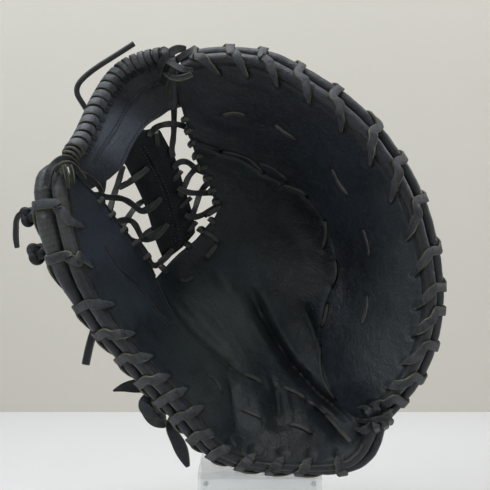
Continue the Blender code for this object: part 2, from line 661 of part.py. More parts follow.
POST_LEFT = [(128, 152), (126, 166), (132, 178), (139, 192), (148, 215), (155, 239), (162, 257)]
POST_RIGHT = [(195, 233), (194, 226), (189, 208), (183, 192), (179, 179), (172, 161), (163, 145), (159, 130)]
BAND_MM, POST_MM = 3.0, 3.4

web_top = spline(WEB_TOP, 90)
band_top = inset(web_top, units(7.4, web_top[:, 2]), 1)
band_loop = ring_of(evenly(band_top[9:-1], 10), [(173.5, 78), (174, 92)], evenly(spline(BAND_LOW, 40), 10))
post_loop = ring_of(evenly(spline(POST_LEFT, 30), 9), [(170, 257), (183, 247)], evenly(spline(POST_RIGHT, 30), 9))


def band_front(p):
    return WEB_FIELD.at(p)


def band_back(p):
    return WEB_FIELD.at(p) + BAND_MM * slant(WEB_FIELD, p)


def post_front(p):
    return POST_FIELD.at(p)


def post_back(p):
    return POST_FIELD.at(p) + POST_MM * slant(POST_FIELD, p)


wall("web_band", band_loop, [], 9.0, band_front, band_back)
wall("web_post", post_loop, [], 9.0, post_front, post_back)

top3 = place(web_top[:, 0], web_top[:, 1], web_top[:, 2])
ends = np.minimum(np.arange(90), np.arange(90)[::-1]) / 8.0
CORE = 4.9
core_r = CORE * (0.80 + 0.20 * np.clip(ends, 0, 1)) * 0.001
tube("web_binding", top3[::3], core_r[::3], 12, LEATHER)

# The flat lace wound round the top roll, turn beside turn.
TURNS, PER_TURN, WRAP_T = 16, 12, 1.3
m = TURNS * PER_TURN + 1
at = np.linspace(9, 86, m)
wind = np.stack([np.interp(at, np.arange(90), top3[:, j]) for j in range(3)], 1)
along = unit(np.gradient(wind, axis=0))
side_a = unit(np.cross(along, np.array([0.0, 1.0, 0.0])))
side_b = np.cross(along, side_a)
spin = np.arange(m) * 2 * math.pi / PER_TURN
out_dir = side_a * np.cos(spin)[:, None] + side_b * np.sin(spin)[:, None]
wind_r = np.interp(at, np.arange(90), core_r)[:, None] + (0.7 + WRAP_T / 2) * 0.001
wind_path = wind + out_dir * wind_r
pitch = float(np.linalg.norm(np.diff(wind, axis=0), axis=1).sum()) / TURNS
strap("web_binding_wrap", wind_path, along, pitch * 0.80, WRAP_T * 0.001)

# Net laces: u, w, what each point lies against, and a lift toward the back.
NET = [
    ("web_lace_left_a", [(104, 177, "band", 0), (102, 190, "free", 5.2), (96, 203, "thumb", 4.2)]),
    ("web_lace_left_b", [(123, 166, "band", 0), (118, 183, "free", 3.0), (113, 198, "free", 5.4), (108, 217, "thumb", 4.2)]),
    ("web_lace_left_c", [(148, 168, "post", 0), (139, 176, "post", -0.6), (130, 182, "free", -2.2), (123, 185.5, "free", -2.2), (119, 188, "free", -1.8)]),
    ("web_lace_left_d", [(88, 195, "thumb", 0), (97, 195, "free", 1.2), (106, 197, "free", 0.6), (119, 198, "free", 0.2), (133, 205, "free", -1), (142, 211, "post", 0), (153, 207, "post", 0), (161, 198, "post", 0)]),
    ("web_lace_left_e", [(148, 199, "under", 0), (140, 203, "free", 5.2), (127, 219, "free", 5.6), (118, 231, "thumb", 4.4)]),
    ("web_lace_left_f", [(111, 224, "thumb", 0), (119, 221, "free", 1.2), (131, 221, "free", 0.5), (138, 230, "free", -1.5), (144, 239, "post", 0), (157, 236, "post", 0), (168, 224, "post", 0)]),
    ("web_lace_left_g", [(157, 228, "under", 0), (151, 230, "free", 5.4), (140, 241, "free", 8.0), (131, 250, "thumb", 6.6)]),
    ("web_lace_left_h", [(126, 238, "thumb", 0.4), (138, 243.5, "free", 2.2), (147, 256, "free", 2.2), (154, 265.5, "free", 0.2), (164, 259.5, "post", -1), (173, 249, "post", 0)]),
    ("web_lace_right_a", [(149, 137, "post", 0), (154, 129, "post", -0.5), (162, 125, "free", -6), (174, 124, "free", -3.5), (186, 127, "free", 3), (192, 131, "finger", 0)]),
    ("web_lace_right_b", [(174, 101, "band", 0), (174, 120, "free", 3.5), (173, 140, "free", 1.5), (172, 151, "post", 0), (173, 157, "post", 0)]),
    ("web_lace_right_c", [(174, 168, "post", 0), (179, 162.5, "free", -3), (187, 162, "free", -2), (195, 168, "free", 6.5), (208, 174, "finger", 4.5)]),
    ("web_lace_right_d", [(204, 162, "finger", 0), (198, 167, "free", 2.2), (188, 178, "free", 1), (184, 188, "free", -2.2), (180, 196, "post", 0)]),
    ("web_lace_right_e", [(178, 188, "post", -3.2), (187, 192, "free", -5.5), (200, 193, "free", -2), (210, 193, "free", 3), (217, 194, "finger", 0)]),
    ("web_lace_right_f", [(214, 180, "finger", 0), (206, 185, "free", 3), (199, 196, "free", 3.2), (193, 213, "free", -2.8), (188, 220, "post", -0.3)]),
    ("web_lace_right_g", [(185, 215, "post", -3.4), (194, 217, "free", -5.4), (206, 213, "free", 0), (214, 208, "free", 3.4), (222, 204, "finger", 0)]),
]
NET_W, NET_T, OFF, LIFT = 4.2, 1.7, 3.1, 1.6
net_rows = [(u, w, float(front_back(np.array([(u, w)]))[0]) + 1) for u, w in THUMB_EDGE[1:]]
net_rows += [(u, w, float(post_front(np.array([(u, w)]))[0]) + 1.7) for u, w in POST_LEFT[1:] + POST_RIGHT[:-1]]
net_rows += [(u, w, float(front_back(np.array([(u, w)]))[0]) + 0) for u, w in WEB_EDGE_POCKET + WEB_EDGE_FINGER[1:3]]
NET_FIELD = Field(net_rows, 0.01)


def net_depth(u, w, what, lift):
    p = np.array([(u, w)], float)
    if what == "free":
        return float(NET_FIELD.at(p)[0]) + lift * LIFT
    if what == "post":
        return float(post_front(p)[0]) - OFF + lift * LIFT
    if what == "under":
        return float(post_back(p)[0]) + OFF + lift * LIFT
    if what == "band":
        return float(band_back(p)[0]) + OFF + lift * LIFT
    return float(front_back(p)[0]) + OFF + lift * LIFT


def net_path(points, step):
    rows = [(u, w, net_depth(u, w, what, lift)) for u, w, what, lift in points]
    n = max(3, int(np.linalg.norm(np.diff(np.array(rows)[:, :2], axis=0), axis=1).sum() / step))
    r = spline(rows, n)
    return place(r[:, 0], r[:, 1], r[:, 2])


for name, points in NET:
    path = net_path(points, 4.5)
    t = unit(np.gradient(path, axis=0))
    strap(name, path, np.cross(t, np.array([0.0, 1.0, 0.0])), NET_W * 0.001, NET_T * 0.001)

# ---------------------------------------------------------------- rim laces
LACE_T = 1.9


def rim_at(rim, i):
    """Front roll and back roll at a fractional row: centre, radius, tangent, outward and forward directions."""
    k = np.arange(len(rim))
    row, lo, hi = (
        np.array([np.interp(np.clip(j, 0, len(rim) - 1), k, rim[:, c]) for c in range(rim.shape[1])])
        for j in (i, i - 1.5, i + 1.5)
    )
    spread = row[2:4] - row[0:2]
    both = []
    for u, w, d, r in ((0, 1, 4, 5), (2, 3, 7, 6)):
        t = unit(place(hi[u], hi[w], hi[d]) - place(lo[u], lo[w], lo[d]))
        fwd = np.array([0.0, -1.0, 0.0])
        fwd = unit(fwd - fwd.dot(t) * t)
        out = np.cross(fwd, t)
        if out[0] * spread[0] - out[2] * spread[1] < 0:
            out = -out
        both.append((place(row[u], row[w], row[d]), row[r] * 0.001, t, out, fwd))
    return both


def nearest_row(line, u, w):
    return float(np.argmin(np.hypot(line[:, 0] - u, line[:, 1] - w)))


def shell_depth(u, w, faces):
    return float(faces(np.array([(u, w)]))[0])


def unplace(p):
    depth = (p[1] - SHIFT_Y) * 1000
    k = UNIT * (1 + depth / TAPER)
    return (p[0] - SHIFT_X) / k + MID_U, MID_W - (p[2] - MID_Z) / k, depth


def clear_depth(u, w, t, half, depth_of, pick):
    """Depth of a surface under the middle and both edges of a lace, the highest of them."""
    e = np.array([t[0], -t[2]]) * half / (UNIT * 1000)
    return pick(depth_of(u + s * e[0], w + s * e[1]) for s in (-1, 0, 1))


BACK_OFF = 4.4
LACE_GAP = 1.0


def whip(rim, holes, back_of, wide):
    """The path, width direction and widths of one lace that whips over both rolls and through every hole."""
    path = []
    f_line, b_line = rim[:, 0:2], rim[:, 2:4]
    k = len(holes)
    k_row = np.arange(len(rim))
    front_of = lambda u, w: float(front(np.array([(u, w)]))[0])
    for n, (hu, hw, tu, tw) in enumerate(holes):
        i_h = nearest_row(f_line, hu, hw)
        i_t = nearest_row(b_line, tu, tw)
        nu, nw = holes[n - 1][:2] if n else (hu, hw)
        i_n = nearest_row(f_line, nu, nw) if n else i_t
        seg = []
        t_h = rim_at(rim, i_h)[0][2]
        top = clear_depth(hu, hw, t_h, 1.5, front_of, min) - 2.5
        seg.append((place(hu, hw, back_of(hu, hw) - 0.5), t_h, 2.6))
        seg.append((place(hu, hw, front_of(hu, hw) + 1.5), t_h, 2.6))
        seg.append((place(hu, hw, top), t_h, 3.0))
        turn = np.radians([152, 126, 100, 72, 44, 16, -12, -40, -64, -88])
        mid = 4.5
        was, last = None, None
        for q, phi in enumerate(turn):
            i = i_h + (i_t - i_h) * min(1, (q + 1) / (mid + 0.5)) if q <= mid else i_t + (i_n - i_t) * (q - mid) / (len(turn) - mid) * 0.8
            rolls = rim_at(rim, i)

            def reach(angle):
                f, rf, _, out, fwd = rolls[0]
                d = math.cos(angle) * out + math.sin(angle) * fwd
                return f.dot(d) + rf > rolls[1][0].dot(d) + rolls[1][1]

            on_f = reach(phi)
            turns = [(phi, on_f)]
            if last is not None and on_f != was:
                a0, a1 = last, phi
                for _ in range(12):
                    am = (a0 + a1) / 2
                    if reach(am) == was:
                        a0 = am
                    else:
                        a1 = am
                turns = [(am, was), (am, on_f)] + ([(phi, on_f)] if abs(am - phi) > 0.12 else [])
            was, last = on_f, phi
            for angle, front_one in turns:
                c, r, t, out, fwd = rolls[0 if front_one else 1]
                d = math.cos(angle) * out + math.sin(angle) * fwd
                if not seg[3:]:
                    # The run from the hole up to the front roll stays clear of the panel.
                    first = unplace(c + (r + (LACE_GAP + LACE_T / 2) * 0.001) * d)
                    for share in (0.35, 0.7):
                        u, w, dep = (x + (y - x) * share for x, y in zip((hu, hw, top), first))
                        half = (3.0 + (wide - 3.0) * share) / 2
                        seg.append((place(u, w, min(dep, clear_depth(u, w, t, half, front_of, min) - 1.7)), t, 2 * half))
                extra = 0.6 * max(0.0, min(1.0, -1.4 * math.sin(angle)))
                seg.append((c + (r + (LACE_GAP + extra + LACE_T / 2) * 0.001) * d, t, wide))
        bu, bw = np.interp(i, k_row, b_line[:, 0]), np.interp(i, k_row, b_line[:, 1])
        d0 = np.interp(i, k_row, rim[:, 7]) + np.interp(i, k_row, rim[:, 6]) + 3.0
        d1 = clear_depth(nu, nw, t, 1.6, back_of, max) + BACK_OFF - 0.6
        for share in (0.4, 0.6, 0.8) if n else ():
            qu, qw = bu + (nu - bu) * share, bw + (nw - bw) * share
            half = wide * (1.0 - 0.45 * share) / 2
            depth = d0 + (d1 - d0) * share
            if share > 0.5 or inside([(qu, qw)], finger_back_loop)[0] or inside([(qu, qw)], thumb_back_loop)[0]:
                depth = max(depth, clear_depth(qu, qw, t, half, back_of, max) + BACK_OFF - 1.6)
            seg.append((place(qu, qw, depth), t, 2 * half))
        path.append(seg)
    out_p, out_a, out_w = [], [], []
    for n in range(k - 1, -1, -1):
        for p, a, w in path[n]:
            out_p.append(p), out_a.append(a), out_w.append(w)
        if n:
            nu, nw = holes[n - 1][:2]
            t = path[n - 1][0][1]
            nb = clear_depth(nu, nw, t, 1.6, back_of, max)
            out_p.append(place(nu, nw, nb + BACK_OFF - 1.2)), out_a.append(t), out_w.append(3.2)
    return np.array(out_p), np.array(out_a), np.array(out_w) * 0.001


def finger_back_depth(u, w):
    if inside([(u, w)], finger_back_loop)[0]:
        return shell_depth(u, w, fb)
    return float(front_back(np.array([(u, w)]))[0])


def heel_back_depth(u, w):
    if inside([(u, w)], thumb_back_loop)[0]:
        return shell_depth(u, w, tb)
    return float(front_back(np.array([(u, w)]))[0])


for name, rim, holes, back_of, wide in (
    ("finger_rim_lace", FINGER, FINGER_HOLES, finger_back_depth, 6.3),
    ("heel_rim_lace", HEEL, HEEL_HOLES, heel_back_depth, 6.5),
):
    p, a, w = whip(rim, holes, back_of, wide)
    strap(name, p, a, w, LACE_T * 0.001)

# ---------------------------------------------------------------- wrist strap
STRAP = [
    # u    w   depth  width mm  lean (how far the band leans along the rim)
    (391, 383, -12, 20, -0.65), (380, 387, 12, 26, -0.45), (360, 391, 36, 32, -0.2), (325, 394, 58, 36, 0.0),
    (285, 395, 66, 37, 0.0), (245, 396, 63, 37, 0.0), (215, 397, 44, 34, 0.1), (196, 398, 16, 27, 0.4), (188, 398, -12, 20, 0.65),
]
r = spline(STRAP, 34)
r[:, 2] = np.maximum(r[:, 2], front_back(r) + 5.0)
lean = np.stack([r[:, 4], np.zeros(len(r)), -np.ones(len(r))], 1)
strap("wrist_strap", place(r[:, 0], r[:, 1], r[:, 2]), lean, r[:, 3] * 0.001, 0.0028, LEATHER)

# ---------------------------------------------------------------- ties, knots and ends


def band_path(rows, n):
    """A lace through rows of u, w, depth, width in mm."""
    r = spline(rows, n)
    return place(r[:, 0], r[:, 1], r[:, 2]), np.maximum(r[:, 3], 0.8) * 0.001


def flat_lace(name, rows, n, thick=1.9, turn=(0.0, 1.0, 0.0), colour=LACE):
    path, wide = band_path(rows, n)
    t = unit(np.gradient(path, axis=0))
    strap(name, path, np.cross(t, np.array(turn)), wide, thick * 0.001, colour)


def knot(name, u, w, depth, size, tall):
    """A pulled-tight knot: one lumpy body, its lobes wound round it."""
    n, m = 20, 13
    verts = [place(u, w, depth) + np.array([0, 0, size * tall * 0.001])]
    for i in range(1, m):
        b = math.pi * i / m
        for j in range(n):
            a = 2 * math.pi * j / n
            r = size * (1 + 0.20 * math.sin(b) * math.cos(3 * a + 2.4 * b))
            d = np.array([math.sin(b) * math.cos(a), 0.85 * math.sin(b) * math.sin(a), tall * math.cos(b)])
            verts.append(place(u, w, depth) + d * r * 0.001)
    verts.append(place(u, w, depth) - np.array([0, 0, size * tall * 0.001]))
    faces = [(0, 1 + j, 1 + (j + 1) % n) for j in range(n)]
    for i in range(m - 2):
        for j in range(n):
            a, b = 1 + i * n + j, 1 + i * n + (j + 1) % n
            faces.append((a, a + n, b + n, b))
    last = 1 + (m - 2) * n
    faces += [(last + j, len(verts) - 1, last + (j + 1) % n) for j in range(n)]
    o = mesh_object(name, verts, faces, LACE)
    weld(o.data)


# Three turns that bind the web's top roll to the thumb tip.
mt = 2 * 12 + 7
at2 = np.linspace(1.2, 7.6, mt)
c2 = np.stack([np.interp(at2, np.arange(90), top3[:, j]) for j in range(3)], 1)
al2 = unit(np.gradient(c2, axis=0))
sa2 = unit(np.cross(al2, np.array([0.0, 1.0, 0.0])))
sb2 = np.cross(al2, sa2)
sp2 = np.arange(mt) * 2 * math.pi / 12 + 0.5
r2 = np.interp(at2, np.arange(90), core_r)[:, None] + 1.7 * 0.001
strap("thumb_tip_tie", c2 + (sa2 * np.cos(sp2)[:, None] + sb2 * np.sin(sp2)[:, None]) * r2, al2, 2.1 * 0.001, 1.9 * 0.001)

flat_lace("finger_corner_tie_upper", [(158, 76, 13, 4.5), (161, 66, 1, 5.5), (168, 55, -4, 6.2), (177, 49, -3, 6.0), (186, 49, 0, 4.5)], 9)
flat_lace("finger_corner_tie_lower", [(165, 72, 6, 4), (172, 77, -4, 4.6), (181, 78, -12, 4.6), (192, 74, -15, 4.2)], 9)
flat_lace("heel_corner_tie_a", [(366, 409, -31, 4.5), (373, 417, -36, 5.5), (381, 427, -34, 5.5), (388, 434, -27, 4.5)], 9)
flat_lace("heel_corner_tie_b", [(391, 411, -33, 4.5), (381, 420, -40, 5.5), (370, 427, -40.5, 5.5), (358, 432, -32, 4.5)], 9)
knot("thumb_knot_upper", 26, 218, -41, 4.9, 1.25)
knot("thumb_knot_lower", 36.5, 254, -40, 6.4, 1.1)
knot("strap_knot", 151.5, 411.5, -24, 6.8, 1.15)
flat_lace("thumb_lace_end", [(15.5, 226, -41, 3.0), (15.5, 237, -41, 3.2), (17, 248, -42, 2.8)], 6)
flat_lace("thumb_back_lace_end", [(97, 322, -30, 5.5), (90, 344, -31, 5.6), (85.5, 365, -33, 5.6)], 7)
flat_lace("strap_tab", [(147, 385, -21, 9.5), (137, 386, -23, 9.5), (126, 387, -26, 7.0), (113, 391, -29, 1.2)], 8, thick=2.4, colour=LEATHER)
flat_lace("strap_lace_end", [(169, 427, -20, 6.5), (176, 439, -22, 8.8), (182.5, 453, -24, 8.8), (188, 467, -25, 3.0)], 9)

# The one long free end, over the web.
END = [(86, 109, 5), (81, 101, 4), (77, 93, 3), (77.5, 86, 3), (81.5, 80, 3.5), (91, 71.5, 5), (112, 57.5, 8), (134, 43.5, 10)]
r = spline(END, 26)
tube("top_lace_end", place(r[:, 0], r[:, 1], r[:, 2]), np.full(len(r), 0.0020), 8, LACE)

# ---------------------------------------------------------------- clear stand
CLEAR = (0.86, 0.90, 0.89)
S = {"wide": 88.0, "x": 10.5, "sheet": 4.0, "front": -24.4, "shelf": 53.4, "back": 31.0, "top": 116.0, "foot_w": 150.0, "foot_front": -62.0, "foot_back": 98.0, "foot_h": 5.0}


def box(name, x0, x1, y0, y1, z0, z1, colour=CLEAR, bevel=0.5, **look):
    bpy.ops.mesh.primitive_cube_add(size=1)
    o = bpy.context.object
    o.name = o.data.name = name
    for c in list(o.users_collection):
        c.objects.unlink(o)
    for v in o.data.vertices:
        v.co = ((v.co.x * (x1 - x0) + (x0 + x1) / 2) * 0.001, (v.co.y * (y1 - y0) + (y0 + y1) / 2) * 0.001, (v.co.z * (z1 - z0) + (z0 + z1) / 2) * 0.001)
    b = o.modifiers.new("bevel", "BEVEL")
    b.width, b.segments, b.limit_method = bevel * 0.001, 2, "ANGLE"
    return collect(o, colour, **look)


for key in ("front", "back", "foot_front", "foot_back"):
    S[key] += SHIFT_Y * 1000 + 10.0
S["x"] += SHIFT_X * 1000
x0, x1 = S["x"] - S["wide"] / 2, S["x"] + S["wide"] / 2
glass = dict(rough=0.06, alpha=0.35)
box("stand_foot", S["x"] - S["foot_w"] / 2, S["x"] + S["foot_w"] / 2, S["foot_front"], S["foot_back"], 0, S["foot_h"], **glass)


def bent_sheet(name, profile, thick, xa, xb):
    """A clear sheet bent along a side profile of y, z."""
    p = np.array(profile, float)
    t = unit(np.gradient(p, axis=0))
    n = np.stack([-t[:, 1], t[:, 0]], 1)
    ring = np.vstack([p + n * thick / 2, (p - n * thick / 2)[::-1]])
    verts = [(xa * 0.001, y * 0.001, z * 0.001) for y, z in ring] + [(xb * 0.001, y * 0.001, z * 0.001) for y, z in ring]
    k = len(ring)
    m = len(p)
    faces = []
    for i in range(k):
        j = (i + 1) % k
        faces.append((i, j, j + k, i + k))
    for i in range(m - 1):
        faces.append((i, k - 1 - i, k - 2 - i, i + 1))
        faces.append((i + k, i + 1 + k, k - 2 - i + k, k - 1 - i + k))
    o = mesh_object(name, verts, faces, CLEAR, **glass)
    weld(o.data)


def rounded(points, r, n=4):
    """A side profile with its corners rounded."""
    p = [np.array(q, float) for q in points]
    out = [p[0]]
    for a, b, c in zip(p, p[1:], p[2:]):
        u1, u2 = (a - b) / np.linalg.norm(a - b), (c - b) / np.linalg.norm(c - b)
        for k in range(n + 1):
            s = k / n
            out.append((1 - s) ** 2 * (b + u1 * r) + 2 * s * (1 - s) * b + s**2 * (b + u2 * r))
    out.append(p[-1])
    return out


h = S["sheet"] / 2
bent_sheet("stand_riser", rounded([(S["front"] + h, S["foot_h"] + 0.3), (S["front"] + h, S["shelf"] - h), (S["back"] - 0.3, S["shelf"] - h)], 5), S["sheet"], x0, x1)


def plate(name, outline, y0, y1):
    """A flat upright plate from a front outline of x, z."""
    k = len(outline)
    verts = [(x * 0.001, y0 * 0.001, z * 0.001) for x, z in outline] + [(x * 0.001, y1 * 0.001, z * 0.001) for x, z in outline]
    faces = [tuple(range(k)), tuple(range(2 * k - 1, k - 1, -1))] + [(i, i + k, (i + 1) % k + k, (i + 1) % k) for i in range(k)]
    o = mesh_object(name, verts, faces, CLEAR, **glass)
    weld(o.data)


neck = 21.0
side = [(x1, S["foot_h"] + 0.3), (x1, S["shelf"] + 12.0)]
for k in range(1, 9):
    a = k / 8 * math.pi / 2
    side.append((x1 - (x1 - S["x"] - neck) * math.sin(a), S["shelf"] + 12.0 + 22.0 * (1 - math.cos(a))))
side += [(S["x"] + neck, S["top"] - 4.0), (S["x"] + neck - 4.0, S["top"])]
outline = side + [(2 * S["x"] - x, z) for x, z in side[::-1]]
plate("stand_upright", outline, S["back"], S["back"] + S["sheet"])
for name, x in (("stand_screw_left", x0 + 6.0), ("stand_screw_right", x1 - 6.0)):
    bpy.ops.mesh.primitive_cylinder_add(vertices=16, radius=0.0018, depth=0.0014, rotation=(math.pi / 2, 0, 0), location=(x * 0.001, (S["front"] - 1.0) * 0.001, (S["shelf"] - 6.5) * 0.001))
    o = bpy.context.object
    o.name = o.data.name = name
    for c in list(o.users_collection):
        c.objects.unlink(o)
    bpy.context.view_layer.update()
    for v in o.data.vertices:
        v.co = o.matrix_world @ v.co
    o.location, o.rotation_euler = (0, 0, 0), (0, 0, 0)
    collect(o, (0.55, 0.56, 0.57), rough=0.3, metal=1.0)
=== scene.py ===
# Looks of the first baseman mitt on its clear stand: leather, laces, seams and folds.
import math

import bpy
import numpy as np
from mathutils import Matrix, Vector
from mathutils.geometry import delaunay_2d_cdt


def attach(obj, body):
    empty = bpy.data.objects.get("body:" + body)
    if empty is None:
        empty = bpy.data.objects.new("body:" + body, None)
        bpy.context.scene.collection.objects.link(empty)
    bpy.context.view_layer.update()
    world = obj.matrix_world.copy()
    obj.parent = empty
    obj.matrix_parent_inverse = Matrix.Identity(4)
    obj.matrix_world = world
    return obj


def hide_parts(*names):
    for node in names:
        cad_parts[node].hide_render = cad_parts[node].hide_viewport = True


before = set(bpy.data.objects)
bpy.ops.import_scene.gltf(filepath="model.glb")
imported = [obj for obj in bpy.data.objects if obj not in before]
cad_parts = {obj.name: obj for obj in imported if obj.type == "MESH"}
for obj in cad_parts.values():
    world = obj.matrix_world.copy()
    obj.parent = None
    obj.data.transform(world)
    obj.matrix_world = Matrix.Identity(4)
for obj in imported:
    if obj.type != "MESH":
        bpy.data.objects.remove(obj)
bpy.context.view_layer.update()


# ---------------------------------------------------------------- pattern
# The leather is drawn on a pattern: u across, w down, in pattern units. One
# unit is 0.72 mm at the middle plane, and the pattern widens toward the back.
# A third number is always the depth in mm, + toward the back of the hand.
UNIT = 0.00072
TAPER = 700.0
MID_U, MID_W = 245.0, 245.0
MID_Z = 0.215
SHIFT_X, SHIFT_Y = 0.008813, -0.020721


def place(u, w, depth):
    u, w, depth = np.broadcast_arrays(
        np.asarray(u, float), np.asarray(w, float), np.asarray(depth, float)
    )
    k = UNIT * (1 + depth / TAPER)
    return np.stack(
        [(u - MID_U) * k + SHIFT_X, depth * 0.001 + SHIFT_Y, MID_Z - (w - MID_W) * k],
        axis=-1,
    )


# Rolled bindings: u, w of the front roll and of the back roll, depth of the
# front roll, and the radius of each roll in mm.
FINGER_RIM = [
    # station       uf     wf     ub     wb   depth  rf   rb
    ("web_corner", 183.0, 67.5, 181.0, 60.5, -3, 3.9, 3.8),
    ("top_a", 204.0, 60.5, 203.0, 54.0, -8, 4.2, 4.1),
    ("top_b", 233.0, 59.0, 232.0, 52.5, -14, 4.4, 4.2),
    ("top_c", 264.5, 64.0, 267.0, 56.5, -19, 4.4, 4.2),
    ("shoulder_a", 295.3, 79.0, 299.5, 71.0, -24, 4.5, 4.3),
    ("shoulder_b", 328.0, 100.0, 334.5, 92.5, -29, 4.5, 4.3),
    ("shoulder_c", 361.0, 128.0, 368.0, 121.0, -33, 4.5, 4.3),
    ("side_a", 389.0, 164.0, 397.5, 159.0, -36, 4.5, 4.3),
    ("side_b", 410.0, 203.5, 419.0, 199.5, -38, 4.5, 4.3),
    ("side_c", 422.5, 244.0, 431.5, 241.5, -39, 4.5, 4.3),
    ("side_d", 429.0, 278.0, 437.0, 277.5, -39, 4.5, 4.3),
    ("side_e", 429.5, 311.0, 437.0, 311.5, -39, 4.5, 4.3),
    ("low_a", 423.0, 341.0, 431.0, 343.5, -38, 4.4, 4.3),
    ("low_b", 410.0, 371.5, 417.5, 376.0, -35, 4.4, 4.2),
    ("low_c", 393.0, 394.5, 400.0, 400.0, -31, 4.3, 4.1),
    ("heel_corner", 376.0, 414.0, 382.5, 420.0, -25, 4.0, 3.9),
]
HEEL_RIM = [
    # station       uf     wf     ub     wb   depth  rf   rb
    ("corner", 370.5, 433.0, 377.5, 437.5, -24, 3.9, 3.9),
    ("notch", 362.5, 449.0, 370.0, 453.0, -24, 4.1, 4.0),
    ("heel_right", 352.0, 459.5, 357.5, 463.5, -25, 4.0, 3.9),
    ("heel_a", 334.0, 464.8, 336.0, 469.0, -27, 3.8, 3.8),
    ("heel_b", 310.0, 465.6, 310.5, 469.2, -29, 3.7, 3.7),
    ("heel_c", 282.0, 464.6, 281.5, 468.2, -31, 3.7, 3.7),
    ("heel_d", 255.0, 462.0, 253.3, 466.0, -33, 3.7, 3.7),
    ("heel_e", 230.0, 455.0, 226.5, 459.3, -36, 3.9, 3.8),
    ("heel_f", 211.0, 442.5, 205.5, 447.3, -38, 4.2, 4.1),
    ("thumb_low_a", 194.5, 422.5, 187.0, 428.5, -40, 4.5, 4.4),
    ("thumb_low_b", 176.5, 401.5, 169.0, 407.0, -43, 4.5, 4.4),
    ("thumb_low_c", 154.5, 378.5, 147.0, 384.0, -46, 4.5, 4.5),
    ("thumb_mid_a", 129.5, 350.0, 121.5, 355.0, -50, 4.5, 4.6),
    ("thumb_mid_b", 107.5, 324.0, 99.0, 328.5, -53, 4.5, 4.8),
    ("thumb_mid_c", 90.5, 297.0, 80.5, 301.5, -56, 4.5, 5.4),
    ("thumb_mid_d", 79.5, 275.0, 67.0, 278.5, -58, 4.5, 6.2),
    ("thumb_up_a", 71.0, 249.0, 56.0, 251.5, -59, 4.6, 7.0),
    ("thumb_up_b", 64.5, 222.0, 48.0, 223.5, -58, 4.8, 7.3),
    ("thumb_up_c", 60.5, 199.0, 45.0, 200.0, -56, 4.9, 7.0),
    ("thumb_up_d", 59.0, 183.0, 44.5, 183.0, -53, 4.7, 6.4),
    ("thumb_tip", 60.5, 173.5, 48.5, 173.0, -50, 4.1, 5.2),
    ("thumb_tie", 63.5, 167.5, 55.0, 166.0, -48, 3.0, 3.2),
]

# Front skin: depth at named places of the pattern.
SKIN = [
    # place             u      w   depth
    ("finger_top_a", 205, 108, 14),
    ("finger_top_b", 243, 106, 9),
    ("finger_top_c", 285, 122, 6),
    ("finger_mid_a", 325, 150, 1),
    ("finger_mid_b", 355, 190, -4),
    ("finger_mid_c", 374, 240, -6),
    ("finger_mid_d", 380, 290, -7),
    ("finger_mid_e", 372, 340, -9),
    ("finger_low", 352, 385, -6),
    ("seam_a", 196, 142, 34),
    ("seam_b", 219, 153, 43),
    ("seam_c", 261, 172, 48),
    ("seam_d", 306, 197, 46),
    ("seam_e", 327, 225, 42),
    ("seam_f", 336, 275, 36),
    ("seam_g", 324, 305, 37),
    ("seam_h", 321, 347, 31),
    ("seam_i", 335, 399, 8),
    ("seam_j", 360, 425, -10),
    ("web_edge_a", 182, 111, 21),
    ("web_edge_b", 197, 164, 46),
    ("web_edge_c", 217, 212, 63),
    ("pocket_a", 250, 235, 69),
    ("pocket_b", 280, 230, 64),
    ("pocket_c", 250, 287, 61),
    ("pocket_d", 290, 290, 53),
    ("pocket_e", 272, 337, 48),
    ("pocket_f", 300, 375, 29),
    ("pocket_g", 331, 408, 7),
    ("pocket_h", 235, 310, 53),
    ("pocket_i", 205, 295, 53),
    ("pocket_j", 250, 350, 38),
    ("base_a", 156, 279, 36),
    ("base_b", 171, 261, 53),
    ("base_c", 197, 238, 65),
    ("thumb_edge_a", 89, 188, -27),
    ("thumb_edge_b", 105, 204, -13),
    ("thumb_edge_c", 119, 224, 0),
    ("thumb_edge_d", 135, 242, 13),
    ("thumb_edge_e", 149, 262, 26),
    ("thumb_face_a", 95, 235, -32),
    ("thumb_face_b", 118, 268, -20),
    ("thumb_face_c", 145, 310, -8),
    ("thumb_face_d", 168, 350, -8),
    ("crease_a", 187, 325, 31),
    ("crease_b", 219, 353, 27),
    ("crease_c", 245, 378, 20),
    ("heel_pad_a", 195, 385, -13),
    ("heel_pad_b", 222, 405, -8),
    ("heel_pad_c", 255, 408, 0),
    ("heel_pad_d", 292, 412, -1),
    ("heel_pad_e", 322, 428, -8),
    ("heel_low_a", 250, 435, -19),
    ("heel_low_b", 295, 438, -18),
]

# Folds of the front skin: path, depth in mm (+ sinks), half width in units.
FOLDS = [
    ("main_groove", [(246, 280), (272, 337), (300, 375), (331, 405), (356, 424)], 6.5, 6.0),
    ("second_groove", [(300, 297), (314, 335), (328, 388)], 3.2, 7.0),
    ("pocket_ridge", [(222, 270), (238, 306), (264, 336), (290, 372)], -3.0, 10.0),
    ("thumb_crease", [(150, 284), (187, 325), (219, 355), (246, 380)], 4.0, 7.0),
    ("heel_dent_a", [(231, 378), (234, 408), (238, 438)], 3.6, 8.0),
    ("heel_dent_b", [(276, 384), (277, 408), (281, 434)], 3.6, 8.0),
    ("heel_dent_c", [(312, 404), (328, 424), (342, 442)], 3.0, 7.0),
    ("thumb_wave", [(108, 249), (124, 274), (150, 303), (170, 324)], 1.6, 4.5),
    ("finger_roll_a", [(350, 232), (356, 285), (348, 332)], 1.4, 14.0),
]

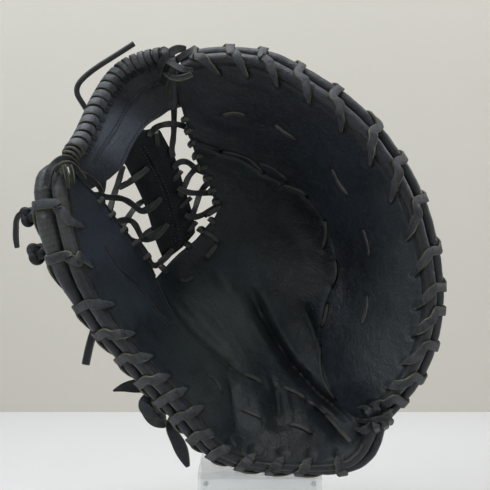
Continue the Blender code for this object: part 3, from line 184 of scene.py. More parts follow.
# Inner edges of the panels, in pattern units.
SEAM = [
    (191, 141), (206, 147), (219, 153), (237, 158), (261, 172), (286, 185), (306, 198),
    (320, 214), (329, 232), (335, 252), (336, 272), (331, 289), (324, 307), (321, 326),
    (320, 348), (325, 372), (335, 397), (347, 411), (362, 424),
]
WEB_EDGE_FINGER = [(191, 141), (187, 128), (183, 111), (179, 93), (177, 78)]
THUMB_EDGE = [(78, 178), (89, 188), (105, 204), (119, 223), (135, 242), (149, 262), (156, 278)]
WEB_BASE = [(156, 278), (163, 270), (171, 261), (184, 249), (197, 238), (205, 228), (214, 218)]
WEB_EDGE_POCKET = [(214, 218), (217, 211), (215, 202), (211, 191), (207, 179), (198, 164), (194, 151), (191, 141)]

# Lace holes in the panels and the tops of the lace over the rolls.
FINGER_HOLES = [
    # hole u, w        lace top u, w
    (217.5, 73.0, 194, 50), (246.5, 75.0, 231, 45), (277, 85, 265, 49), (309, 102, 302.5, 63),
    (341, 130, 340, 85), (370, 163.5, 375, 114.6), (390.5, 200, 405.5, 154), (407, 238, 427, 196),
    (414.5, 274, 439.5, 240), (416.5, 307, 445, 280), (412, 335, 444, 312), (403.0, 363.0, 437, 347),
    (388, 387, 424, 380), (371.5, 404, 408, 404),
]
HEEL_HOLES = [
    (338, 453.0, 341, 475), (310, 454.3, 300, 475), (282, 453.3, 270, 474), (254, 450.0, 240, 468),
    (229, 443.3, 211, 456), (212, 431, 187, 438), (202, 407, 171, 423), (185, 389, 155, 405),
    (168, 375.5, 134, 387), (151, 356, 113, 363), (132.5, 333, 95, 337), (112.5, 304, 73, 305),
    (91, 266, 50, 251), (82, 226, 33, 206),
]


# ---------------------------------------------------------------- curves
def spline(rows, n):
    """n rows along a natural cubic curve through the rows."""
    p = np.array(rows, float)
    h = np.maximum(np.linalg.norm(np.diff(p[:, :2], axis=0), axis=1), 1e-6)
    s = np.concatenate([[0], np.cumsum(h)])
    k = len(p)
    a, b = np.eye(k), np.zeros_like(p)
    for i in range(1, k - 1):
        a[i, i - 1], a[i, i], a[i, i + 1] = h[i - 1], 2 * (h[i - 1] + h[i]), h[i]
        b[i] = 6 * ((p[i + 1] - p[i]) / h[i] - (p[i] - p[i - 1]) / h[i - 1])
    m = np.linalg.solve(a, b)
    t = np.linspace(0, s[-1], n)
    i = np.clip(np.searchsorted(s, t, side="right") - 1, 0, k - 2)
    hi = h[i][:, None]
    q, r = ((s[i + 1] - t) / h[i])[:, None], ((t - s[i]) / h[i])[:, None]
    return q * p[i] + r * p[i + 1] + ((q**3 - q) * m[i] + (r**3 - r) * m[i + 1]) * hi**2 / 6


def evenly(points, step):
    """The line again, with points about step apart."""
    p = np.array(points, float)
    s = np.concatenate([[0], np.cumsum(np.linalg.norm(np.diff(p[:, :2], axis=0), axis=1))])
    t = np.linspace(0, s[-1], max(2, int(round(s[-1] / step)) + 1))
    return np.stack([np.interp(t, s, p[:, j]) for j in range(p.shape[1])], axis=1)


def to_line(points, line):
    """Distance of each point to a line of points, and how far along it is, 0 to 1."""
    if len(points) > 3000:
        parts = [to_line(points[i : i + 3000], line) for i in range(0, len(points), 3000)]
        return np.concatenate([a for a, _ in parts]), np.concatenate([b for _, b in parts])
    p, q = np.asarray(points, float)[:, :2], np.asarray(line, float)[:, :2]
    a, d = q[:-1], np.diff(q, axis=0)
    seg = np.linalg.norm(d, axis=1)
    start = np.concatenate([[0], np.cumsum(seg)])
    rel = p[:, None, :] - a[None]
    t = np.clip((rel * d[None]).sum(2) / np.maximum(seg**2, 1e-12)[None], 0, 1)
    far = np.linalg.norm(rel - t[..., None] * d[None], axis=2)
    i = far.argmin(1)
    rows = np.arange(len(p))
    return far[rows, i], (start[i] + t[rows, i] * seg[i]) / start[-1]


def inside(points, loop):
    """Whether each point is inside the loop."""
    if len(points) > 6000:
        return np.concatenate([inside(points[i : i + 6000], loop) for i in range(0, len(points), 6000)])
    p, q = np.asarray(points, float), np.asarray(loop, float)
    x, y = p[:, 0][:, None], p[:, 1][:, None]
    x1, y1 = q[:, 0][None], q[:, 1][None]
    x2, y2 = np.roll(q[:, 0], -1)[None], np.roll(q[:, 1], -1)[None]
    cross = ((y1 > y) != (y2 > y)) & (
        x < (x2 - x1) * (y - y1) / np.where(y2 == y1, 1e-12, y2 - y1) + x1
    )
    return cross.sum(1) % 2 == 1


def rim_rows(table, n):
    """Along a rim: uf, wf, ub, wb, depth front, rf, rb and depth back, n rows."""
    r = spline([row[1:] for row in table], n)
    apart = np.hypot(r[:, 0] - r[:, 2], r[:, 1] - r[:, 3]) * UNIT * 1000 * (1 + r[:, 4] / TAPER)
    need = r[:, 5] + r[:, 6] + 0.5
    back = r[:, 4] + np.sqrt(np.maximum(need**2 - apart**2, 1.0))
    return np.column_stack([r, back])


FINGER = rim_rows(FINGER_RIM, 200)
HEEL = rim_rows(HEEL_RIM, 260)


def inset(line, by, side):
    """A line moved sideways in the pattern; side is +1 or -1."""
    t = np.gradient(line[:, :2], axis=0)
    t /= np.maximum(np.linalg.norm(t, axis=1), 1e-9)[:, None]
    n = np.stack([-t[:, 1], t[:, 0]], axis=1) * side
    by = np.broadcast_to(by, (len(line),))[:, None]
    return line[:, :2] + n * by


def units(mm, depth):
    return mm / (UNIT * 1000 * (1 + depth / TAPER))


# The panels start beside the front roll; the back shells beside the back roll.
FINGER_LINE = inset(FINGER[:, 0:2], units(FINGER[:, 5] + 0.45, FINGER[:, 4]), 1)
HEEL_LINE = inset(HEEL[:, 0:2], units(HEEL[:, 5] + 0.45, HEEL[:, 4]), 1)
FINGER_SHELL_LINE = inset(FINGER[:, 2:4], units(FINGER[:, 6] + 0.6, FINGER[:, 7]), 1)
HEEL_SHELL_LINE = inset(HEEL[:, 2:4], units(HEEL[:, 6] + 0.6, HEEL[:, 7]), 1)


# ---------------------------------------------------------------- surfaces
class Field:
    """A smooth depth over the pattern through given rows of u, w, depth."""

    def __init__(self, rows, soft):
        r = np.array(rows, float)
        self.c = r[:, :2] / 100
        n = len(r)
        a = np.zeros((n + 3, n + 3))
        a[:n, :n] = self.kernel(self.c) + soft * np.eye(n)
        a[:n, n], a[:n, n + 1 : n + 3] = 1, self.c
        a[n:, :n] = a[:n, n:].T
        self.k = np.linalg.solve(a, np.concatenate([r[:, 2], np.zeros(3)]))

    def kernel(self, p):
        d2 = ((p[:, None] - self.c[None]) ** 2).sum(2)
        return 0.5 * d2 * np.log(np.maximum(d2, 1e-12))

    def at(self, points):
        p = np.asarray(points, float)[:, :2] / 100
        out = np.empty(len(p))
        for i in range(0, len(p), 4000):
            q = p[i : i + 4000]
            out[i : i + 4000] = self.kernel(q) @ self.k[:-3] + self.k[-3] + q @ self.k[-2:]
        return out


def skin_rows():
    rows = [row[1:] for row in SKIN]
    for rim, line, count in ((FINGER, FINGER_LINE, 16), (HEEL, HEEL_LINE, 22)):
        for i in np.linspace(2, len(rim) - 3, count).astype(int):
            rows.append((line[i, 0], line[i, 1], rim[i, 4] + 1.5))
    return rows


SKIN_FIELD = Field(skin_rows(), 0.004)


FOLD_LINES = [(spline(path, 24), deep, wide) for _, path, deep, wide in FOLDS]


def folds(points):
    out = np.zeros(len(points))
    for line, deep, wide in FOLD_LINES:
        far, along = to_line(points, line)
        taper = np.clip(np.minimum(along, 1 - along) * 5, 0, 1)
        out += deep * np.exp(-((far / wide) ** 2)) * taper * taper * (3 - 2 * taper)
    return out


def slant(field, points):
    """How many times longer a wall is measured along the depth than across it."""
    e = 2.0
    p = np.asarray(points, float)[:, :2]
    du = (field.at(p + [e, 0]) - field.at(p - [e, 0])) / (2 * e * UNIT * 1000)
    dw = (field.at(p + [0, e]) - field.at(p - [0, e])) / (2 * e * UNIT * 1000)
    return np.minimum(np.sqrt(1 + du**2 + dw**2), 2.2)


def rim_distance(points):
    f, sf = to_line(points, FINGER_LINE[::4])
    h, sh = to_line(points, HEEL_LINE[::4])
    depth = np.where(
        f < h,
        np.interp(sf, np.linspace(0, 1, len(FINGER)), FINGER[:, 4]),
        np.interp(sh, np.linspace(0, 1, len(HEEL)), HEEL[:, 4]),
    )
    return np.minimum(f, h), depth


def wall_mm(points):
    """Thickness of the padded front wall, in mm."""
    far, _ = rim_distance(points)
    p = np.asarray(points, float)
    hollow = np.exp(-(((p[:, 0] - 240) / 62) ** 2) - ((p[:, 1] - 245) / 62) ** 2)
    return 3.0 + (5.5 - 3.5 * hollow) * np.clip((far - 8) / 30, 0, 1)


def front(points):
    return SKIN_FIELD.at(points) + folds(points)


def front_back(points):
    """The back face of the front wall; it follows the folds only a little."""
    return SKIN_FIELD.at(points) + 0.5 * folds(points) + wall_mm(points) * slant(SKIN_FIELD, points)


def shell_face(points, closed, room, rise=22.0):
    """Inner face of a back shell: room mm of hollow behind the front wall, closed at its closed edges."""
    p = np.asarray(points, float)
    far = np.min([to_line(p, line)[0] for line in closed], axis=0)
    lift = 1 - np.exp(-((np.maximum(far - 7, 0) / rise) ** 1.6))
    base = front_back(p) + 1.9 + room * slant(SKIN_FIELD, p) * lift
    near, rim = rim_distance(p)
    floor = rim + 7.2
    k = 1.2
    return k * np.logaddexp(base / k, floor / k)


# ---------------------------------------------------------------- dense relief
# Narrow folds that only the finished surface shows: path, depth in mm (+ sinks), half width in units.
CREASES = [
    ("groove_lip_a", [(252, 274), (276, 322), (300, 362), (326, 392), (352, 414)], -1.6, 5.0),
    ("groove_core", [(262, 312), (276, 340), (303, 377), (333, 404), (357, 424)], 2.6, 4.0),
    ("groove_fork", [(296, 368), (312, 378), (330, 392), (341, 404)], 1.7, 3.4),
    ("second_core", [(303, 303), (316, 337), (329, 392)], 1.6, 3.0),
    ("third_core", [(311, 402), (327, 418), (345, 441), (350, 449)], 2.6, 3.4),
    ("third_lip", [(300, 408), (318, 424), (334, 446)], -1.4, 5.0),
    ("pad_ridge_a", [(255, 384), (258, 410), (262, 436)], -1.8, 8.0),
    ("pad_ridge_b", [(212, 392), (214, 412), (218, 432)], -1.6, 9.0),
    ("pad_ridge_c", [(296, 398), (304, 420), (312, 440)], -1.8, 8.0),
    ("pad_crease_a", [(226, 372), (231, 392), (234, 414)], 2.0, 3.0),
    ("pad_crease_b", [(269, 372), (277, 396), (280, 420)], 2.4, 3.0),
    ("pad_crease_c", [(287, 380), (293, 402), (296, 430)], 1.6, 2.4),
    ("pocket_a", [(205, 262), (228, 292), (246, 322)], 1.5, 5.0),
    ("pocket_b", [(176, 292), (206, 330), (232, 356)], 1.6, 3.5),
    ("pocket_c", [(268, 208), (292, 232), (306, 262)], -1.2, 9.0),
    ("pocket_d", [(243, 240), (262, 262), (284, 300)], -1.0, 8.0),
    ("thumb_a", [(96, 232), (110, 262), (134, 296), (160, 334)], -1.3, 8.0),
    ("thumb_b", [(122, 300), (146, 330), (168, 352)], 1.4, 4.0),
    ("thumb_c", [(128, 322), (148, 340), (160, 352)], 0.9, 2.2),
    ("thumb_d", [(140, 304), (150, 326), (156, 344)], 0.9, 2.0),
    ("finger_a", [(338, 240), (345, 276), (340, 318)], 0.8, 6.0),
    ("finger_b", [(392, 236), (398, 282), (392, 330)], -0.7, 12.0),
    ("finger_c", [(232, 96), (282, 110), (330, 140), (366, 190)], -0.7, 12.0),
    ("finger_d", [(196, 118), (216, 130), (252, 140)], 1.0, 6.0),
]
# Leather laid over leather: the first side of the path stands above the other by this much, in mm.
STEPS = [
    ("thumb_wave", [(105, 246), (112, 258), (122, 271), (134, 281), (147, 297), (156, 309), (170, 324)], 1.1),
    ("thumb_edge", [(157, 281), (170, 309), (194, 339), (219, 357), (243, 374)], 1.2),
]
# Fans of fine wrinkles: middle, reach in units, direction in degrees, pitch in units, height in mm.
WRINKLES = [
    ("thumb_fan", 140, 312, 26, 30, 52, 5.0, 0.55),
    ("thumb_low", 172, 372, 20, 18, 70, 5.5, 0.45),
    ("thumb_top", 92, 226, 12, 30, 68, 6.0, 0.35),
    ("pad_left", 214, 396, 22, 26, 86, 5.5, 0.50),
    ("pad_mid", 252, 404, 24, 26, 90, 6.0, 0.45),
    ("pad_right", 300, 412, 26, 22, 62, 5.5, 0.55),
    ("groove_fan", 322, 374, 20, 34, 60, 4.6, 0.60),
    ("pocket_fan", 262, 330, 30, 34, 58, 6.5, 0.55),
    ("pocket_mid", 250, 262, 34, 34, 52, 8.0, 0.45),
    ("pocket_low", 208, 318, 26, 26, 46, 6.0, 0.50),
    ("finger_seam", 344, 252, 18, 60, 84, 6.0, 0.35),
    ("finger_low", 352, 350, 26, 40, 70, 8.0, 0.30),
    ("finger_top", 262, 134, 50, 20, 12, 7.0, 0.30),
    ("corner", 352, 412, 18, 14, 44, 4.2, 0.55),
]


def lattice(p, seed):
    """Smooth noise from -1 to 1 with one cell a unit."""
    if seed not in NOISE:
        NOISE[seed] = np.random.RandomState(seed).rand(128, 128) * 2 - 1
    r = NOISE[seed]
    i = np.floor(p).astype(int)
    f = p - i
    f = f * f * (3 - 2 * f)
    x, y = i[:, 0] % 128, i[:, 1] % 128
    x1, y1 = (x + 1) % 128, (y + 1) % 128
    a = r[x, y] * (1 - f[:, 0]) + r[x1, y] * f[:, 0]
    b = r[x, y1] * (1 - f[:, 0]) + r[x1, y1] * f[:, 0]
    return a * (1 - f[:, 1]) + b * f[:, 1]


def signed(points, line):
    """Distance to a line, + on its left going along it, and how far along."""
    if len(points) > 3000:
        parts = [signed(points[i : i + 3000], line) for i in range(0, len(points), 3000)]
        return np.concatenate([a for a, _ in parts]), np.concatenate([b for _, b in parts])
    p, q = np.asarray(points, float)[:, :2], np.asarray(line, float)[:, :2]
    a, d = q[:-1], np.diff(q, axis=0)
    seg = np.maximum(np.linalg.norm(d, axis=1), 1e-9)
    start = np.concatenate([[0], np.cumsum(seg)])
    rel = p[:, None, :] - a[None]
    t = np.clip((rel * d[None]).sum(2) / (seg**2)[None], 0, 1)
    far = np.linalg.norm(rel - t[..., None] * d[None], axis=2)
    i = far.argmin(1)
    n = np.arange(len(p))
    cross = d[i, 0] * rel[n, i, 1] - d[i, 1] * rel[n, i, 0]
    return far[n, i] * np.sign(cross), (start[i] + t[n, i] * seg[i]) / start[-1]


def ease(x):
    x = np.clip(x, 0, 1)
    return x * x * (3 - 2 * x)


ALL_HOLES = np.array([(h[0], h[1]) for h in FINGER_HOLES + HEEL_HOLES], float)


CREASE_LINES = [(spline(path, 20) if len(path) > 2 else np.array(path, float), deep, wide) for _, path, deep, wide in CREASES]
STEP_LINES = [(spline(path, 30), high) for _, path, high in STEPS]
NOISE = {}


def relief(points):
    """Fine relief of the front leather in mm, + sinks."""
    p = np.asarray(points, float)[:, :2]
    out = np.zeros(len(p))
    for line, deep, wide in CREASE_LINES:
        far, along = to_line(p, line)
        out += deep * np.exp(-((far / wide) ** 2)) * ease(np.minimum(along, 1 - along) * 4)
    for line, high in STEP_LINES:
        far, along = signed(p, line)
        fade = ease(np.minimum(along, 1 - along) * 8)
        out += high * 0.5 * np.tanh(-far / 1.1) * fade * np.exp(-np.abs(far) / 16)
    for k, (_, u, w, ru, rw, angle, pitch, high) in enumerate(WRINKLES):
        c, s = math.cos(math.radians(angle)), math.sin(math.radians(angle))
        du, dw = p[:, 0] - u, p[:, 1] - w
        mask = np.exp(-((du / ru) ** 2) - ((dw / rw) ** 2))
        along, across = du * c + dw * s, -du * s + dw * c
        across = across + 3.0 * lattice(np.stack([along / 26 + 40, across / 26 + 40], 1), 90 + k)
        n = lattice(np.stack([along / (pitch * 4.5) + 50, across / pitch + 50], 1), 20 + k)
        out += high * mask * (1.6 * (1 - np.abs(n)) ** 4 - 0.4)
    out += 0.30 * lattice(p / 17.0 + 30, 5) + 0.16 * lattice(p / 7.0 + 30, 6)
    for u, w in ALL_HOLES:
        d = np.hypot(p[:, 0] - u, p[:, 1] - w)
        out += 1.3 * np.exp(-((d / 4.4) ** 2)) - 0.35 * np.exp(-(((d - 7.5) / 2.6) ** 2))
    for u, w in PITS:
        d = np.hypot(p[:, 0] - u, p[:, 1] - w)
        out += 1.0 * np.exp(-((d / 2.8) ** 2))
    return out


# Short laces stitched through the panels: places the lace passes, width in mm.
PANEL_LACES = [
    ("finger_stitch_a", [(222, 115.5), (233, 113.5), (245, 115.5)], 3.2),
    ("finger_stitch_b", [(275, 125), (285, 133), (297, 140)], 3.0),
    ("finger_stitch_c", [(332, 169), (338, 182), (348, 195)], 3.2),
    ("finger_stitch_d", [(363, 230), (367, 243), (369, 256)], 3.2),
    ("finger_stitch_e", [(367, 296), (366, 309), (361.5, 323)], 3.4),
    ("palm_stitch_a", [(214, 356), (221, 361), (228, 366.5)], 2.2),
    ("palm_stitch_b", [(208, 375), (217, 382), (222, 393)], 2.4),
    ("palm_stitch_c", [(244, 374), (253, 377), (263, 384)], 3.8),
    ("palm_stitch_d", [(241, 409), (251, 413), (262, 418.5)], 2.6),
    ("palm_stitch_e", [(283, 387), (294, 391), (306, 399)], 3.4),
    ("palm_stitch_f", [(289, 424), (300, 426), (312, 433)], 3.6),
    ("palm_stitch_g", [(308, 401), (318, 407), (328, 415)], 3.0),
    ("palm_stitch_h", [(326, 414), (338, 427), (352, 444)], 3.8),
    ("seam_stitch_a", [(221, 152), (237, 154.5), (250, 160), (263, 173)], 2.4),
    ("seam_stitch_b", [(259, 163), (272, 168), (287, 181)], 3.0),
    ("seam_stitch_c", [(283, 186), (294, 189), (307, 196)], 3.2),
    ("seam_stitch_d", [(325, 221), (326, 234), (322, 249)], 3.0),
    ("seam_stitch_e", [(335, 261), (336, 272), (331.5, 286)], 2.4),
    ("seam_stitch_f", [(327.5, 304), (326, 314), (321.5, 326)], 3.0),
    ("seam_stitch_g", [(320.5, 346), (320.5, 369), (326, 386), (335, 400)], 2.2),
    ("web_base_stitch_a", [(202, 232), (211, 235.5), (219, 243)], 4.0),
    ("web_base_stitch_b", [(205, 258), (211, 252), (217.5, 243.5)], 4.0),
    ("web_base_stitch_c", [(180, 279), (187, 280.5), (192.5, 276.5)], 3.6),
    ("web_base_stitch_d", [(206, 216), (214, 211), (223, 205)], 3.8),
]
PITS = np.array([pt for _, path, _ in PANEL_LACES for pt in (path[0], path[-1])], float)


def skin(points):
    """The finished front surface."""
    return front(points) + relief(points)


# ---------------------------------------------------------------- materials
def shader(name):
    m = bpy.data.materials.new(name)
    m.use_nodes = True
    nt = m.node_tree
    nt.nodes.clear()
    out = nt.nodes.new("ShaderNodeOutputMaterial")
    b = nt.nodes.new("ShaderNodeBsdfPrincipled")
    nt.links.new(b.outputs["BSDF"], out.inputs["Surface"])
    return m, nt, b


def add(nt, kind, **values):
    n = nt.nodes.new("ShaderNode" + kind)
    for key, v in values.items():
        if key in n.inputs:
            n.inputs[key].default_value = v
        else:
            setattr(n, key, v)
    return n


def noise(nt, at, scale, detail=3.0, rough=0.55, distort=0.0):
    n = add(nt, "TexNoise")
    n.inputs["Scale"].default_value = scale
    n.inputs["Detail"].default_value = detail
    n.inputs["Roughness"].default_value = rough
    n.inputs["Distortion"].default_value = distort
    nt.links.new(at, n.inputs["Vector"])
    return n.outputs["Fac"]


def ramp(nt, value, stops):
    n = add(nt, "ValToRGB")
    e = n.color_ramp.elements
    while len(e) < len(stops):
        e.new(0.5)
    for k, (pos, c) in enumerate(stops):
        e[k].position = pos
        e[k].color = (*c, 1) if not np.isscalar(c) else (c, c, c, 1)
    nt.links.new(value, n.inputs["Fac"])
    return n.outputs["Color"]


def mix(nt, fac, a, b):
    n = add(nt, "Mix", data_type="RGBA")
    for value, socket in ((fac, n.inputs[0]), (a, n.inputs[6]), (b, n.inputs[7])):
        if isinstance(value, bpy.types.NodeSocket):
            nt.links.new(value, socket)
        elif np.isscalar(value):
            socket.default_value = value
        else:
            socket.default_value = (*value, 1)
    return n.outputs[2]


def bump(nt, height, distance, strength=1.0, normal=None):
    n = add(nt, "Bump")
    n.inputs["Strength"].default_value = strength
    n.inputs["Distance"].default_value = distance
    nt.links.new(height, n.inputs["Height"])
    if normal is not None:
        nt.links.new(normal, n.inputs["Normal"])
    return n.outputs["Normal"]


def leather(name, deep, base, worn, rough=(0.40, 0.58), grain=1.0, wear=0.6, sheen=0.25, spec=0.5, cells=1150, painted_light_zones=()):
    """Dyed leather: cloudy dye, pebbled grain, fine creases and lighter, smoother wear on raised places, with painted
    light and shade at given places and painted shade in its hollows.
    """
    m, nt, b = shader(name)
    at = add(nt, "TexCoord").outputs["Object"]
    cloud = noise(nt, at, 22, 4, 0.6, 0.4)
    patch = noise(nt, at, 95, 3, 0.6, 0.8)
    colour = mix(nt, ramp(nt, cloud, [(0.36, 0.0), (0.66, 1.0)]), deep, base)
    # Painted light and shade at given places: each zone pulls the colour toward a lighter tone (painted highlight) or a
    # darker one (painted shade): (u, w, reach in mm, colour, share).
    for u, w, reach, painted_tone, share in painted_light_zones:
        flat = add(nt, "VectorMath", operation="MULTIPLY")
        nt.links.new(at, flat.inputs[0])
        flat.inputs[1].default_value = (1, 0.1, 1)
        far = add(nt, "VectorMath", operation="DISTANCE")
        nt.links.new(flat.outputs["Vector"], far.inputs[0])
        x, y, z = map(float, place(u, w, float(skin(np.array([(u, w)], float))[0])))
        far.inputs[1].default_value = (x, y * 0.1, z)
        near = add(nt, "MapRange", interpolation_type="SMOOTHSTEP")
        near.inputs["From Min"].default_value, near.inputs["From Max"].default_value = reach * 0.00025, reach * 0.001
        near.inputs["To Min"].default_value, near.inputs["To Max"].default_value = share, 0.0
        nt.links.new(far.outputs["Value"], near.inputs["Value"])
        colour = mix(nt, near.outputs["Result"], colour, painted_tone)
    point = add(nt, "NewGeometry").outputs["Pointiness"]
    rubbed = ramp(nt, point, [(0.495, 0.0), (0.56, 1.0)])
    some = add(nt, "Math", operation="MULTIPLY")
    nt.links.new(rubbed, some.inputs[0])
    nt.links.new(ramp(nt, patch, [(0.38, 0.15), (0.68, 1.0)]), some.inputs[1])
    much = add(nt, "Math", operation="MULTIPLY")
    nt.links.new(some.outputs[0], much.inputs[0])
    much.inputs[1].default_value = wear
    colour = mix(nt, much.outputs[0], colour, worn)
    # Painted shade: folds, seams and other hollows (low pointiness) are pulled toward a quarter of the deep dye.
    colour = mix(nt, ramp(nt, point, [(0.455, 0.85), (0.497, 0.0)]), colour, tuple(c * 0.25 for c in deep))
    cell = add(nt, "TexVoronoi", feature="F1")
    cell.inputs["Scale"].default_value = cells
    cell.inputs["Randomness"].default_value = 0.9
    nt.links.new(at, cell.inputs["Vector"])
    pebble = ramp(nt, cell.outputs["Distance"], [(0.12, 1.0), (0.62, 0.0)])
    colour = mix(nt, ramp(nt, cell.outputs["Distance"], [(0.45, 0.0), (0.75, 0.35)]), colour, deep)
    nt.links.new(colour, b.inputs["Base Color"])
    r = add(nt, "MapRange")
    r.inputs["From Min"].default_value, r.inputs["From Max"].default_value = 0.35, 0.68
    r.inputs["To Min"].default_value, r.inputs["To Max"].default_value = rough[0], rough[1]
    nt.links.new(patch, r.inputs["Value"])
    nt.links.new(r.outputs["Result"], b.inputs["Roughness"])
    crease = noise(nt, at, 330, 5, 0.65, 1.2)
    soft = noise(nt, at, 140, 3, 0.55, 0.6)
    n1 = bump(nt, soft, 0.0016, 0.40 * grain)
    n2 = bump(nt, crease, 0.0009, 0.50 * grain, n1)
    n3 = bump(nt, pebble, 0.00022, 0.5 * grain, n2)
    nt.links.new(n3, b.inputs["Normal"])
    b.inputs["Specular IOR Level"].default_value = spec
    b.inputs["Sheen Weight"].default_value = sheen
    b.inputs["Sheen Roughness"].default_value = 0.45
    b.inputs["Sheen Tint"].default_value = (0.72, 0.80, 0.95, 1)
    return m


def fibre(name, dark, light, rough=0.8):
    """The raw cut edge of rawhide: open fibre, no finish."""
    m, nt, b = shader(name)
    at = add(nt, "TexCoord").outputs["Object"]
    a = noise(nt, at, 420, 4, 0.7, 0.5)
    c = noise(nt, at, 60, 3, 0.6, 0.3)
    colour = mix(nt, ramp(nt, c, [(0.36, 0.0), (0.66, 1.0)]), dark, light)
    colour = mix(nt, ramp(nt, a, [(0.42, 0.0), (0.70, 0.55)]), colour, dark)
    nt.links.new(colour, b.inputs["Base Color"])
    r = add(nt, "MapRange")
    r.inputs["To Min"].default_value, r.inputs["To Max"].default_value = rough - 0.12, rough + 0.1
    nt.links.new(a, r.inputs["Value"])
    nt.links.new(r.outputs["Result"], b.inputs["Roughness"])
    nt.links.new(bump(nt, a, 0.0004, 0.6), b.inputs["Normal"])
    b.inputs["Specular IOR Level"].default_value = 0.35
    return m


# The palm's zones are painted light and shade: painted shade in the upper pocket and low on the heel, and painted
# highlights on the pocket's lower left and its ridge, the heel pad's left side and the thumb.
PALM = leather("palm_leather", (0.0014, 0.0034, 0.0044), (0.0046, 0.0088, 0.0106), (0.030, 0.038, 0.039), (0.34, 0.52), 1.15, 0.6, 0.07, 0.34, painted_light_zones=(
    (300, 225, 58, (0.0006, 0.0014, 0.0026), 1.0), (310, 262, 34, (0.0008, 0.0020, 0.0030), 0.9),
    (218, 322, 50, (0.0400, 0.0500, 0.0470), 0.9), (240, 268, 30, (0.0160, 0.0225, 0.0240), 0.7), (206, 398, 34, (0.0270, 0.0320, 0.0300), 0.85), (268, 308, 16, (0.016, 0.021, 0.022), 0.6),
    (92, 232, 44, (0.0320, 0.0400, 0.0540), 0.85), (128, 290, 34, (0.0210, 0.0290, 0.0360), 0.8), (70, 190, 26, (0.026, 0.031, 0.040), 0.8),
    (290, 440, 40, (0.0030, 0.0042, 0.0042), 0.8)))
# The finger face's zones are painted light and shade: painted highlights down its outer side, and painted shade along
# its seam with the pocket.
FACE = leather("finger_leather", (0.0018, 0.0036, 0.0060), (0.0068, 0.0106, 0.0150), (0.040, 0.047, 0.052), (0.34, 0.52), 1.15, 0.85, 0.12, 0.44, painted_light_zones=(
    (400, 270, 40, (0.0270, 0.0330, 0.0350), 0.85), (392, 345, 40, (0.0240, 0.0290, 0.0290), 0.8), (398, 205, 26, (0.018, 0.022, 0.025), 0.7),
    (345, 262, 36, (0.0004, 0.0014, 0.0026), 1.0), (318, 190, 34, (0.0022, 0.0042, 0.0066), 0.7)))
# The band's zones are painted light and shade: a painted highlight on its fold, and painted shade just under the web's
# top roll.
BAND = leather("band_leather", (0.0060, 0.0080, 0.0110), (0.0200, 0.0250, 0.0330), (0.085, 0.093, 0.108), (0.34, 0.52), 1.4, 0.9, 0.24, 0.5, painted_light_zones=(
    (118, 132, 28, (0.1050, 0.1200, 0.1480), 1.0), (158, 92, 26, (0.0070, 0.0090, 0.0120), 0.7)))
POST = leather("post_leather", (0.0006, 0.0014, 0.0019), (0.0018, 0.0033, 0.0040), (0.020, 0.026, 0.027), (0.44, 0.62), 1.2, 0.5, 0.04, 0.24)
WORN_EDGE = leather("turned_edge_leather", (0.022, 0.022, 0.017), (0.060, 0.060, 0.047), (0.13, 0.13, 0.10), (0.46, 0.64), 0.9, 0.7, 0.1)
SHELL = leather("shell_leather", (0.0030, 0.0045, 0.0065), (0.0110, 0.0140, 0.0180), (0.048, 0.054, 0.060), (0.38, 0.56), 0.9, 0.55, 0.16)
# The rolls' zones are painted light and shade: painted highlights on the thumb's roll and the top roll, and painted
# shade on the outer finger rolls and the heel roll.
ROLL = leather("roll_leather", (0.0080, 0.0098, 0.0125), (0.0205, 0.0235, 0.0280), (0.100, 0.100, 0.090), (0.32, 0.50), 1.0, 0.8, 0.16, 0.46, painted_light_zones=(
    (52, 222, 46, (0.0860, 0.0860, 0.0740), 0.9), (330, 92, 50, (0.034, 0.037, 0.040), 0.7), (418, 215, 44, (0.0135, 0.0135, 0.0105), 0.8), (425, 310, 44, (0.0170, 0.0185, 0.0175), 0.7),
    (285, 470, 60, (0.0075, 0.0080, 0.0070), 0.9)))
# The laces' zones are painted light and shade: painted highlights on the laces over the top and on the thumb, and
# painted shade on the outer side and the heel.
LACING = leather("lace_leather", (0.0050, 0.0064, 0.0084), (0.0135, 0.0165, 0.0205), (0.075, 0.078, 0.080), (0.38, 0.58), 1.3, 0.75, 0.12, 0.40, cells=1500, painted_light_zones=(
    (285, 62, 62, (0.0460, 0.0490, 0.0580), 0.8), (45, 205, 30, (0.034, 0.037, 0.043), 0.7), (425, 292, 70, (0.0070, 0.0082, 0.0090), 0.85), (290, 466, 60, (0.0060, 0.0066, 0.0062), 0.9)))
DARK_LACE = leather("web_lace_leather", (0.0050, 0.0062, 0.0066), (0.0160, 0.0180, 0.0180), (0.070, 0.068, 0.056), (0.40, 0.60), 1.1, 0.6, 0.12, cells=1500)
WRAP = leather("wrap_leather", (0.0055, 0.0070, 0.0095), (0.0165, 0.0195, 0.0250), (0.100, 0.105, 0.112), (0.34, 0.54), 1.3, 0.8, 0.16, cells=1500)
OLIVE = leather("curled_lace_leather", (0.0100, 0.0105, 0.0090), (0.0300, 0.0300, 0.0250), (0.090, 0.086, 0.066), (0.42, 0.60), 1.2, 0.6, 0.10, cells=1500)
EDGE = fibre("lace_raw_edge", (0.030, 0.028, 0.018), (0.150, 0.140, 0.095))
DARK_EDGE = fibre("web_lace_raw_edge", (0.013, 0.0125, 0.009), (0.070, 0.066, 0.046))
CUT = fibre("panel_cut_edge", (0.008, 0.008, 0.007), (0.028, 0.027, 0.022))


# The holes' near-black colour is painted shade: the panels are not pierced, and the dark stands for the inside of each
# hole.
def hole_shade_material():
    m, nt, b = shader("punched_hole_painted_shade")
    at = add(nt, "TexCoord").outputs["Object"]
    n = noise(nt, at, 700, 3)
    nt.links.new(mix(nt, n, (0.0008, 0.0008, 0.0008), (0.004, 0.004, 0.0035)), b.inputs["Base Color"])
    b.inputs["Roughness"].default_value = 0.95
    b.inputs["Specular IOR Level"].default_value = 0.05
    return m


